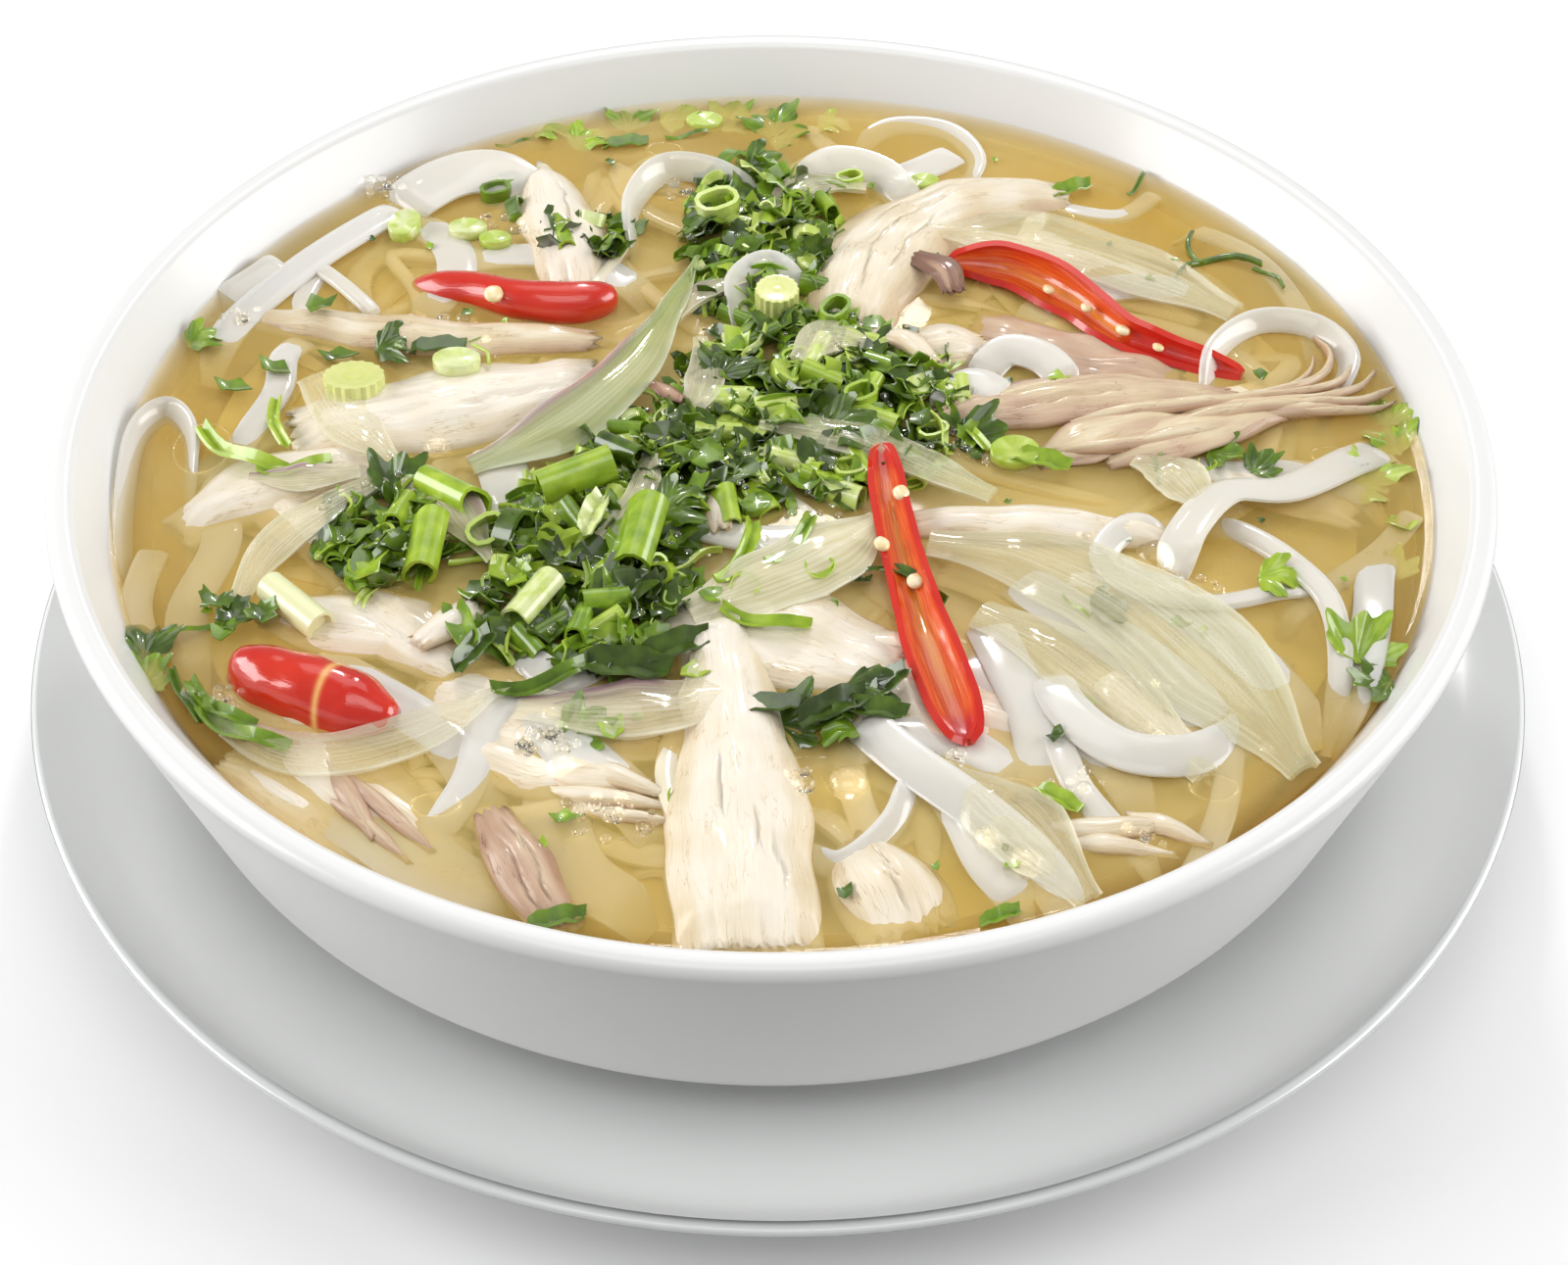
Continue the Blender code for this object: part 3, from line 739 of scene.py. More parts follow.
def set_floor():
    """A wide white floor under the dish."""
    deselect()
    bpy.ops.mesh.primitive_circle_add(vertices=64, radius=FLOOR_RADIUS, fill_type="NGON",
                                      location=(0, 0, FLOOR_Z))
    floor = named("studio_floor")
    material, tree, shader = new_material("studio floor", 0.9)
    tone = ramp(tree, speckle(tree, 3), ((0.3, (0.95, 0.95, 0.95)), (0.7, (0.97, 0.97, 0.97))))
    path = tree.nodes.new("ShaderNodeLightPath")
    seen = blend_colour(tree, path.outputs["Is Camera Ray"], FLOOR_BOUNCE, tone)
    tree.links.new(seen, shader.inputs["Base Color"])
    floor.data.materials.append(material)


# ---- noodles --------------------------------------------------------------------------------

# Noodles that show: route (x, y, z), width, thickness, tilt at its two ends
SHOWN_NOODLES = (
    (((-96, -34, 48), (-100, -14, 51), (-101, 4, 53), (-97, 11, 53.4), (-92, 4, 53), (-91, -12, 50)),
     4.6, 1.3, (60, 60)),
    (((70, 15, 52), (72, 26, 54.4), (80, 34, 54.8), (90, 33, 54.4), (94, 24, 54), (88, 12, 53)),
     4.4, 1.4, (55, 40)),
    (((101, 6, 51.8), (92, 1, 53), (80, -8, 54.6), (70, -10, 55.6), (63, -19, 55.4), (60, -28, 54)),
     7.2, 1.2, (0, 25)),
    (((85, -27, 51.4), (76, -30, 53.2), (66, -33, 53.8), (55, -31, 54), (50, -24, 54.4), (55, -17, 54.6),
      (63, -19, 54.2)), 4.6, 1.4, (20, 20)),
    (((66, -12, 51.2), (72, -17, 53.2), (78, -24, 54.2), (83, -33, 54), (83, -46, 53.2), (80, -58, 50.8)),
     3.8, 1.5, (25, 10)),
    (((101, -8, 51.8), (94, -18, 51.6), (84, -27, 51.4), (76, -34, 50.4)), 4.0, 1.3, (0, 0)),
    (((94, -16, 50.4), (91, -26, 52.8), (89, -36, 53.8), (86, -47, 52.8), (81, -58, 50.4)),
     6.0, 1.2, (0, 30)),
    (((40, -44, 53.6), (42, -55, 54.4), (49, -64, 54.8), (58, -65, 54.2), (66, -60, 52.4), (71, -52, 50)),
     6.6, 1.3, (0, 30)),
    (((38, -54, 51.4), (41, -62, 53), (43, -70, 53.2), (48, -78, 52.4), (54, -84, 50.4)), 4.4, 1.4, (0, 0)),
    (((31, -34, 52.8), (35, -48, 53.6), (38, -60, 53), (38, -74, 51.4)), 7.4, 1.1, (0, 0)),
    (((66, -52, 51.6), (65, -64, 52.2), (62, -76, 51.6), (55, -90, 50.6)), 4.2, 1.3, (0, 0)),
    (((10, -54, 53.4), (19, -66, 54.4), (29, -76, 54.4), (37, -85, 53.4), (41, -94, 51.6)),
     6.6, 1.4, (15, 25)),
    (((4, -80, 51), (10, -84, 52.4), (17, -77, 53), (20, -68, 53)), 4.0, 1.4, (30, 30)),
    (((24, -68, 51.2), (27, -76, 52.8), (30, -85, 53.2), (35, -92, 52)), 6.4, 1.2, (0, 0)),
    (((-24, 55, 53), (-25, 66, 54.8), (-20, 76, 55.6), (-11, 76, 55), (-2, 70, 53)), 5.4, 1.5, (70, 50)),
    (((-63, 69, 53.4), (-71, 60, 54), (-80, 49, 53.8), (-89, 35, 53), (-93, 24, 51.6)), 6.4, 1.2, (0, 0)),
    (((-78, 50, 53.4), (-72, 43, 54), (-66, 36, 53.4)), 3.0, 1.3, (0, 0)),
    (((-77, 50, 52.6), (-79, 41, 52.8), (-77, 34, 52)), 4.0, 1.2, (0, 0)),
    (((-66, 66, 53.8), (-58, 74, 54.6), (-50, 76, 54.6), (-43, 70, 53)), 11.0, 1.2, (0, 15)),
    (((-92, 40, 52.6), (-86, 46, 53.4), (-83, 50, 53.6)), 8.0, 1.2, (10, 10)),
    (((-76, 34, 51), (-80, 26, 52.8), (-80, 16, 53.2), (-84, 4, 52.4), (-88, -12, 50.8)), 5.0, 1.2, (0, 0)),
    (((-84, 0, 51), (-86, -8, 51.9), (-84, -20, 51.9), (-87, -34, 51), (-84, -46, 49)), 6.4, 1.2, (0, 0)),
    (((-94, -18, 51), (-95, -32, 50.6), (-90, -46, 49)), 5.0, 1.2, (0, 0)),
    (((-34, -50, 53.6), (-40, -58, 53.4), (-42, -70, 52.6), (-48, -80, 51.6), (-58, -80, 50.6)),
     5.2, 1.3, (0, -20)),
    (((-33, -52, 53.4), (-29, -62, 53), (-21, -70, 52.4), (-13, -80, 51)), 8.6, 1.1, (0, 0)),
    (((-28, -56, 52), (-30, -70, 51.6), (-26, -84, 51), (-16, -92, 50.4)), 9.0, 1.1, (0, 0)),
    (((-64, -70, 51.4), (-54, -78, 52.2), (-44, -86, 51.4), (-34, -92, 50.4)), 11.0, 1.1, (0, 0)),
    (((14, 88, 51.6), (21, 95, 52), (31, 93, 52.6), (36, 84, 52.4), (33, 74, 52)), 3.8, 1.3, (30, 30)),
    (((17, 75, 53), (25, 79, 53.4), (33, 86, 52.8)), 6.6, 1.1, (0, 0)),
    (((5, 97, 51), (10, 88, 51.6), (16, 80, 52)), 3.6, 1.2, (0, 0)),
    (((48, 70, 52.4), (60, 67, 52.4), (68, 76, 51.6)), 3.6, 1.2, (0, 0)),
    (((70, 66, 51.6), (82, 56, 52.2), (88, 42, 52), (90, 28, 51)), 4.0, 1.2, (0, 0)),
    (((-5, 34, 53), (-6, 43, 55), (-1, 48, 55.4), (4, 43, 54.4)), 5.6, 1.2, (40, 40)),
    (((33, 20, 53), (38, 26, 54.6), (44, 24, 54.8), (48, 18, 54)), 6.0, 1.3, (20, 20)),
    (((27, 12, 53.4), (32, 17, 55), (37, 14, 55)), 6.4, 1.3, (20, 0)),
    (((-37, -44, 53.4), (-30, -50, 54), (-24, -46, 54)), 5.0, 1.2, (20, 20)),
    (((-12, -16, 53.6), (-2, -20, 54.2), (8, -19, 54)), 6.0, 1.2, (0, 0)),
    (((-44, 4, 53), (-41, -8, 53.8), (-38, -18, 53.4)), 8.0, 1.2, (0, 0)),
    (((5, 76, 53.6), (11, 80, 54.6), (19, 76, 54.4), (24, 68, 53.2)), 6.6, 1.3, (20, 40)),
    (((34, -24, 52.4), (46, -36, 53), (58, -49, 53), (66, -62, 52)), 9.0, 1.1, (0, 0)),
    (((44, -20, 52.2), (58, -30, 52.8), (70, -44, 52.8), (78, -58, 51.6)), 8.0, 1.1, (0, 0)),
    (((26, -40, 52.2), (35, -51, 52.8), (45, -60, 52.8), (53, -74, 51.6)), 7.0, 1.1, (0, 0)),
    (((8, -64, 52), (18, -60, 52.8), (28, -62, 52.8), (37, -70, 52)), 7.0, 1.1, (0, 0)),
    (((-70, -42, 51.8), (-58, -51, 52.6), (-46, -61, 52.6), (-38, -74, 51.6)), 7.6, 1.1, (0, 0)),
    (((-60, 36, 52), (-54, 48, 52.8), (-58, 60, 52.6), (-70, 66, 51.6)), 7.0, 1.1, (0, 0)),
    (((40, 36, 52), (52, 44, 52.8), (66, 46, 52.6), (80, 40, 51.6)), 7.0, 1.1, (0, 0)),
    (((56, 4, 51.8), (70, -2, 52.6), (84, -2, 52.4), (96, -8, 51.4)), 6.0, 1.1, (0, 0)),
    (((-20, 42, 52.2), (-32, 52, 52.8), (-46, 54, 52.6), (-60, 50, 51.6)), 6.4, 1.1, (0, 0)),
)

# How far their ends sink, and the share of their size that the ends keep
SHOWN_SINK = 4.0
SHOWN_TIP = 0.5
NOODLE_BODY = 1.15
# The bundle below: how many noodles lie in each layer, and its height
BUNDLE_LAYERS = ((14, 48.0), (16, 49.3), (18, 50.6), (10, 51.5))
BUNDLE_RADIUS = 92.0
BUNDLE_WIDTHS = (2.6, 3.2, 3.8, 4.6)
BUNDLE_THICKNESS = 1.9
BUNDLE_SINK = 3.0
BUNDLE_TIP = 0.3
# A wandering noodle: points, distance between them, and how sharply it may curl at each
WANDER_POINTS = 9
WANDER_STEP = 11
WANDER_CURL = 0.75
# How far it waves up and down, and its fall beyond a radius, as a share of the distance
WANDER_SWAY = 0.9
WANDER_LEVEL_RADIUS = 80
WANDER_FALL = 0.12
# The core under the bundle; lumps only above its shoulder
CORE_RADIUS = 92.0
CORE_TOP = 49.4
CORE_SAG = 3.0
CORE_RINGS = 24
CORE_LUMPS = 1.1
CORE_SHOULDER = 36.0


def noodle_profile(width, thickness, points):
    """The flat section of a noodle, with soft edges, as a closed curve."""
    shape = bpy.data.curves.new("section", "CURVE")
    shape.dimensions = "2D"
    spline = shape.splines.new("POLY")
    spline.points.add(points - 1)
    for index, point in enumerate(spline.points):
        turn = math.tau * (index + 0.5) / points
        c, s = math.cos(turn), math.sin(turn)
        across = math.copysign(abs(c) ** 0.6, c) * width / 2
        up = math.copysign(abs(s) ** 0.8, s) * thickness / 2
        point.co = (across * MM, up * MM, 0, 1)
    spline.use_cyclic_u = True
    item = bpy.data.objects.new("section", shape)
    bpy.context.collection.objects.link(item)
    return item


def noodle(route, width, thickness, tilt, steps, points, tip, sink):
    """Draw a flat section along a route and make it a mesh."""
    section = noodle_profile(width, thickness, points)
    line = route_curve(route, tilt, steps, tip, sink)
    line.data.bevel_mode = "OBJECT"
    line.data.bevel_object = section
    line.data.use_fill_caps = True
    pick(line)
    bpy.ops.object.convert(target="MESH")
    discard(section)
    return bpy.context.active_object


def wandering_route(rng, level):
    """A loose curl of noodle that keeps within the bowl."""
    start = rng.uniform(0, math.tau)
    reach = BUNDLE_RADIUS * math.sqrt(rng.uniform(0.05, 0.92))
    x, y = reach * math.cos(start), reach * math.sin(start)
    heading = rng.uniform(0, math.tau)
    curl = rng.uniform(-0.5, 0.5)
    route = []
    for step in range(WANDER_POINTS):
        sway = WANDER_SWAY * math.sin(1.3 * step + start)
        drop = max(math.hypot(x, y) - WANDER_LEVEL_RADIUS, 0) * WANDER_FALL
        route.append((x, y, level + sway - drop))
        ahead = math.hypot(x + WANDER_STEP * math.cos(heading), y + WANDER_STEP * math.sin(heading))
        if ahead > BUNDLE_RADIUS:
            heading = math.atan2(-y, -x) + rng.uniform(-0.9, 0.9)
        x += WANDER_STEP * math.cos(heading)
        y += WANDER_STEP * math.sin(heading)
        curl = min(max(curl + rng.uniform(-0.3, 0.3), -WANDER_CURL), WANDER_CURL)
        heading += curl
    return route


def noodle_material():
    """Half-clear rice noodle, milkier at its edges; those deep in the bundle are solid."""
    material, tree, shader = new_material("rice noodle", 0.16, Coat_Weight=0.8, Coat_Roughness=0.06)
    shade = stored(tree, "shade")
    clouds = speckle(tree, 160, detail=3)
    fair = ramp(tree, shade, (
        (0.0, (0.92, 0.90, 0.85)),
        (0.5, (0.90, 0.85, 0.72)),
        (1.0, (0.93, 0.82, 0.55)),
    ))
    mottled = blend_colour(tree, band(tree, clouds, 0.35, 0.7, 0.0, 0.3), fair, (0.90, 0.90, 0.89))
    steep(tree, shader, mottled, 0.16)
    solid = band(tree, shade, 0.4, 0.6, 0.56, 1.0)
    alpha = maths(tree, "MULTIPLY_ADD", edge_on(tree, "Facing", 0.5), 0.5, solid, clamp=True)
    tree.links.new(alpha, shader.inputs["Alpha"])
    relief(tree, shader, speckle(tree, 300, detail=2), 0.10, 0.25 * MM)
    return material


def make_noodles():
    """The noodles that show, each on its own route, over layers of wandering ones."""
    rng = random.Random(11)
    pieces = []
    for route, width, thickness, tilt in SHOWN_NOODLES:
        item = noodle(route, width, thickness * NOODLE_BODY, tilt, steps=8, points=12, tip=SHOWN_TIP,
                      sink=SHOWN_SINK)
        pieces.append(tint(item, rng.uniform(0.0, 0.35)))
    for count, level in BUNDLE_LAYERS:
        for _ in range(count):
            route = wandering_route(rng, level + rng.uniform(-0.8, 0.8))
            width = rng.choice(BUNDLE_WIDTHS)
            tilt = (rng.uniform(-30, 30), rng.uniform(-30, 30))
            item = noodle(route, width, BUNDLE_THICKNESS, tilt, steps=4, points=8, tip=BUNDLE_TIP,
                          sink=BUNDLE_SINK)
            pieces.append(tint(item, rng.uniform(0.6, 1.0)))
    whole = join(pieces, "noodles_loose")
    smooth(whole, 50)
    wear(whole, noodle_material(), ("noodles",))


def core_material():
    """The mass of noodles low in the broth: cream in the middle, golden broth towards the wall."""
    material, tree, shader = new_material("sunk noodles", 0.6)
    wander = maths(tree, "MULTIPLY_ADD", speckle(tree, 30, detail=2), 0.04, reach_from_origin(tree))
    colour = ramp(tree, band(tree, wander, 0.075, 0.115), ((0.0, (0.93, 0.80, 0.50)), (1.0, BROTH_DEEP)))
    tree.links.new(colour, shader.inputs["Base Color"])
    return material


def make_noodle_core():
    """The middle of the bundle, out of sight: a mound with the lie of noodles on its top."""
    corners = [(AXIS_HOLE, CORE_TOP, 0)]
    for ring in range(1, CORE_RINGS + 1):
        radius = AXIS_HOLE + (CORE_RADIUS - AXIS_HOLE) * ring / CORE_RINGS
        corners.append((radius, CORE_TOP - CORE_SAG * (ring / CORE_RINGS) ** 3, 0))
    corners += [(CORE_RADIUS, 30.0, 0), (62.0, 14.8, 0), (AXIS_HOLE, 14.6, 0)]
    piece = turned("noodle_core", corners, BOWL_X, segments=120)

    def lie_of_noodles(place):
        if place.z < CORE_SHOULDER * MM:
            return place
        lumps = noise.noise(Vector((place.x * 60, place.y * 60, 3.0)))
        return place + UP * (CORE_LUMPS * MM * lumps)

    sculpt(piece, lie_of_noodles)
    wear(piece, core_material(), ())


# ---- chicken --------------------------------------------------------------------------------

# node: route, widths along it, thickness, shade (0 white meat, 1 dark), raggedness, long cracks
CHICKEN = {
    "chicken_front": (((-8, -36, 51.5), (-5, -60, 52.2), (-4, -80, 52.4), (-2.5, -99, 52)),
                      (12, 15, 20.5, 20.5), 9, 0.02, 1.2,
                      ((0.30, 0.62, 0.84), (-0.25, 0.45, 0.70), (0.55, 0.70, 0.92))),
    "chicken_sheet": (((-16, -34, 52.6), (2, -40, 52.8), (18, -47, 52.4)), (12, 22, 14), 4.0, 0.06, 1.0, ()),
    "chicken_left": (((-75, 6, 52), (-52, 12, 52.6), (-29, 19, 52.3)), (16, 20, 14), 9, 0.0, 2.2,
                     ((0.2, 0.1, 0.5), (-0.5, 0.5, 0.9))),
    "chicken_left_outer": (((-91, -16, 51), (-80, -7, 51.8), (-63, -1, 51.8)), (9, 14, 10), 7, 0.05, 1.5, ()),
    "chicken_strip_back": (((-87, 37, 52), (-60, 31, 53), (-31, 30, 53)), (6, 9.5, 6), 5, 0.22, 3.0,
                           ((0.1, 0.1, 0.8),)),
    "chicken_back": (((-42, 79, 51.5), (-37, 62, 52.6), (-34, 46, 52.2)), (8, 14.5, 11), 8, 0.0, 3.0,
                     ((0.3, 0.2, 0.7),)),
    "chicken_fold": (((50, 73, 51.8), (30, 67, 52.6), (17, 51, 52.8), (12, 33, 52.2)),
                     (10, 16, 21, 15), 9, 0.14, 2.0,
                     ((0.0, 0.3, 0.9), (0.5, 0.4, 0.8), (-0.5, 0.1, 0.6))),
    "chicken_knob": (((20, 27, 52), (27, 28, 52.6), (34, 29, 52)), (9, 13, 9), 8, 0.12, 3.0,
                     ((0.0, 0.1, 0.9),)),
    "chicken_dark_strip": (((28, 10, 53), (48, 15, 53.6), (72, 16, 53)), (9, 12, 6), 5, 0.40, 2.5,
                           ((0.4, 0.05, 0.9), (-0.3, 0.2, 0.7))),
    "chicken_strip_right": (((22, -15, 53), (40, -15.5, 53.4), (60, -18, 53)), (6, 8.5, 5), 5, 0.06, 1.5,
                            ((0.2, 0.1, 0.9),)),
    "chicken_dark_front": (((-38, -76, 52.6), (-33, -86, 52.8), (-28, -95, 52)), (6, 9, 7), 5.5, 0.55, 1.5,
                           ((0.3, 0.1, 0.9), (-0.4, 0.3, 0.9))),
    "chicken_low_front": (((12, -80, 51), (16, -88, 51.6), (19, -95, 51.2)), (10, 16, 14), 7, 0.12, 1.5,
                          ((0.2, 0.2, 0.9),)),
}
# node: shreds as (route, width), thickness, shade
SHREDS = {
    "chicken_fringe": ((
        (((42, 0, 53), (50, 4, 54), (58, 7, 54.4), (65, 9, 54)), 10),
        (((53, 0, 53.2), (63, 4, 54.4), (72, 7, 54.6), (81, 11, 54)), 10),
        (((65, 9, 54), (75, 12, 54.8), (85, 12, 54.6), (93, 13, 53.8)), 6.5),
        (((48, 8, 54.2), (59, 10.5, 55.2), (71, 12, 55.6), (82, 15, 55.2)), 3.2),
        (((45, 1, 54.2), (56, 2, 55.2), (66, 4.5, 55.4), (76, 8, 55.2)), 3.4),
        (((62, 6, 55), (70, 9, 55.8), (80, 11, 55.8), (88, 11.5, 55)), 2.6),
        (((71, 13, 55), (82, 15, 55.8), (88, 18.5, 55.4), (91, 25, 54.4), (89.5, 31, 53.6)), 1.7),
        (((73, 13, 55), (84, 14.5, 55.8), (91, 17.5, 55.2), (94.5, 24, 54.2), (93.5, 29, 53.4)), 1.5),
        (((75, 12, 55.2), (86, 13, 55.6), (94, 16.5, 54.8), (98, 22.5, 53.4)), 1.7),
        (((76, 11, 55), (87, 12, 55.4), (95.5, 14, 54.6), (101, 19.5, 53.2)), 1.8),
        (((80, 10, 54.8), (89, 10.5, 55), (96, 12, 54.2), (100, 15, 53.4)), 1.4),
        (((74, 13.5, 54.8), (83, 16.5, 55), (87, 21, 54.4), (88.5, 26, 53.6)), 1.3),
    ), 3.2, 0.32),
    "chicken_shreds_left": ((
        (((-62, -66, 52.6), (-58, -73, 53.2), (-54, -80, 53)), 3.6),
        (((-59, -68, 52.4), (-53, -75, 53), (-46, -82, 52.6)), 3.0),
        (((-62, -72, 52.4), (-55, -78, 53), (-49, -84, 52.4)), 2.4),
    ), 2.2, 0.46),
    "chicken_shreds_front": ((
        (((-31, -68, 52.6), (-25, -70, 53.6), (-17, -70, 53.2)), 4.4),
        (((-30, -71, 52.6), (-23, -73, 53.6), (-15, -74, 53)), 3.4),
        (((-26, -67, 52.8), (-20, -70, 53.8), (-14, -72, 53.2)), 3.8),
        (((-27, -74, 52.6), (-20, -76, 53.2), (-14, -77, 52.8)), 2.6),
    ), 2.4, 0.14),
    "chicken_shreds_right": ((
        (((39, -77, 52.6), (47, -78, 53.4), (55, -77, 53)), 4.4),
        (((41, -80, 52.4), (48, -81, 53.2), (55, -82, 52.6)), 3.4),
        (((50, -75, 52.6), (55, -78, 53.4), (60, -80, 52.6)), 3.4),
    ), 2.6, 0.16),
}
# Meat sunk in the broth: route, widths, thickness, shade, raggedness, cracks
SUNK_MEAT = (
    (((-50, -52, 51.6), (-34, -56, 52), (-16, -57, 51.6)), (14, 20, 14), 3.4, 0.10, 1.5, ()),
    (((8, -42, 51.6), (24, -56, 51.8), (34, -70, 51)), (14, 22, 14), 3.4, 0.10, 1.5, ()),
    (((-72, -58, 50), (-60, -70, 50.8), (-44, -84, 50)), (12, 19, 12), 5, 0.16, 2.0, ()),
    (((28, -20, 50.8), (50, -30, 51.2), (72, -48, 50.0)), (14, 26, 16), 3.2, 0.10, 1.5, ()),
    (((24, 60, 51.6), (46, 56, 51.6), (72, 42, 50.6)), (12, 17, 10), 3.6, 0.12, 1.5, ()),
    (((34, 36, 52), (50, 27, 52.4), (66, 23, 52)), (10, 14, 8), 3.4, 0.50, 2.0, ()),
    (((-63, -30, 52), (-54, -39, 52.6), (-43, -47, 52)), (8, 14, 9), 2.4, 0.10, 1.5, ()),
    (((-86, -4, 51.6), (-72, -12, 52), (-62, -26, 51.6)), (9, 14, 10), 2.6, 0.14, 1.5, ()),
    (((24, 50, 55.8), (28.5, 46, 56.4), (30, 41, 55.8)), (4, 6, 4), 1.6, 1.0, 1.0, ()),
    (((17, 30, 55.2), (22, 27, 56), (26, 22, 55.4)), (3, 5, 3), 2.4, 0.12, 2.0, ()),
    (((-19, 14, 57), (-17, 11.5, 57.6), (-14.5, 10, 57)), (2, 3.2, 2), 1.8, 0.85, 1.0, ()),
    (((-44, -36, 54.6), (-47, -40, 55.2), (-51, -43, 54.6)), (4, 6, 4), 3, 0.0, 1.5, ()),
    (((-8, -6, 54.6), (-8, -12, 55), (-8, -18, 54.6)), (3, 5, 4), 2.6, 0.1, 1.5, ()),
    (((20, -46, 51.6), (30, -53, 52.2), (42, -60, 51.4)), (7, 13, 8), 3, 0.12, 2.0, ()),
    (((46, -46, 51.4), (54, -55, 52), (62, -66, 51.2)), (8, 14, 8), 3, 0.12, 2.0, ()),
    (((-44, -62, 51.6), (-33, -66, 52.2), (-20, -67, 51.6)), (7, 12, 8), 3, 0.12, 2.0, ()),
    (((-76, -64, 50.8), (-66, -71, 51.4), (-55, -78, 50.6)), (7, 12, 8), 3, 0.12, 2.0, ()),
    (((-78, -50, 51), (-68, -54, 51.8), (-56, -55, 51.2)), (7, 11, 7), 3, 0.10, 2.0, ()),
    (((66, 0, 51.2), (78, -4, 51.8), (90, -10, 51)), (7, 12, 7), 3, 0.14, 2.0, ()),
    (((-74, -34, 51.8), (-62, -38, 52.4), (-50, -40, 51.8)), (8, 14, 8), 3, 0.06, 2.0, ()),
)
# Distance between a strip's points across and along it
FIBRE_SPACING = 0.5
FIBRE_STEP = 1.3
# Waviness of its edges, as a share of its width and at most this many millimetres
EDGE_SHARE = 0.22
EDGE_WAVE = 2.2
# Its ends thin over this length, by this share
END_LENGTH = 5
END_TAPER = 0.55
# Relief of its top, in millimetres
FIBRE_RELIEF = 0.16
FLAKE_RELIEF = 0.38
LUMP_RELIEF = 0.75
CRACK_DEPTH = 0.8
CRACK_WIDTH = 0.38
SHRED_RAGGED = 1.2
# Share of a shred's width at points along it
SHRED_WIDTHS = (0.4, 1.0, 0.8, 0.35)


def torn_meat(name, route, widths, thickness, shade, ragged, cracks, seed):
    """A block shaped as a torn strip: rounded section, ragged ends, fibres and cracks along it."""
    length = sum((Vector(b) - Vector(a)).length for a, b in zip(route, route[1:]))
    cuts = (int(length / FIBRE_STEP), int(max(widths) / FIBRE_SPACING), 4)
    piece = block(name, cuts)
    places = [vert.co.copy() for vert in piece.data.vertices]
    lay_grain(piece, length / 10, max(widths) / 20)

    def shape(place):
        t, v, w = place
        wave = noise.noise(Vector((t * length / 9, math.copysign(3, v), seed)))
        edge = 1 + min(EDGE_SHARE, EDGE_WAVE / max(widths)) * wave
        half = width_along(widths, t) / 2 * edge
        near_end = 1 - ease(min(t, 1 - t) * length, 0, END_LENGTH)
        taper = 1 - END_TAPER * near_end
        across = v * math.sqrt(1 - 0.45 * w * w)
        up = w * math.sqrt(1 - 0.45 * v * v) * (1 - 0.25 * v * v)
        side = across * half
        drift = 1.6 * noise.noise(Vector((t * length / 12, side / 8, seed + 2)))
        fibre = noise.noise(Vector((t * length / 7, (side + drift) / 0.9, seed + 7)))
        flake = noise.noise(Vector((t * length / 11, (side + drift) / 3.0, seed + 3)))
        lump = noise.noise(Vector((t * length / 8, side / 6, seed + 5)))
        rise = up * thickness / 2 * taper
        if w > 0:
            rise += (FIBRE_RELIEF * fibre + FLAKE_RELIEF * flake + LUMP_RELIEF * lump) * (1 - near_end * 0.4)
            for centre, start, end in cracks:
                stray = noise.noise(Vector((t * 14, seed, centre)))
                gap = abs(v - centre - 0.12 * math.sin(t * 9 + seed) - 0.16 * stray) * half
                open_here = swell(t, start, start + 0.1, end - 0.1, end)
                rise -= CRACK_DEPTH * math.exp(-(gap / CRACK_WIDTH) ** 2) * open_here
        tear = ragged * near_end * noise.noise(Vector((side / 1.4, w * 1.5, seed + 11)))
        reach = t + math.copysign(tear, t - 0.5) / length * 1.6
        return Vector((reach, side * MM, rise * MM))

    sculpt(piece, shape)
    bend(piece, route)
    smooth(piece)
    tones = []
    for t, v, w in places:
        patch = noise.noise(Vector((t * length / 7, v * 1.2, seed + 21)))
        rim = ease(abs(v), 0.72, 1.0) * 0.16 + (1 - ease(min(t, 1 - t), 0.0, 0.12)) * 0.10
        # painted shade: each strip's tone darkens towards its underside
        low = 0.12 * (1 - ease(w, -0.6, 0.8))
        tones.append(min(max(shade + rim + low + 0.10 * patch * (1 + 3 * shade), 0.0), 1.0))
    mark(piece, "shade", tones)
    return piece


def shred(route, width, thickness, shade, seed):
    """A thin strip of meat, drawn in to its ends."""
    widths = tuple(width * share for share in SHRED_WIDTHS)
    return torn_meat("shred", route, widths, thickness, shade, SHRED_RAGGED, (), seed)


def hairline_cracks_and_shade(tree):
    """Fine broken cracks that follow the grain, as a mask: the bump sinks in them, and the colour darkens
    there as painted shade.
    """
    lines = speckle(tree, 3, detail=3, stretch=(0.30, 1.6, 1), on="grain")
    thin = band(tree, maths(tree, "ABSOLUTE", maths(tree, "SUBTRACT", lines, 0.5)), 0.0, 0.014, 1.0, 0.0)
    broken = band(tree, speckle(tree, 1.3, detail=2, on="grain"), 0.46, 0.56)
    return maths(tree, "MULTIPLY", thin, broken)


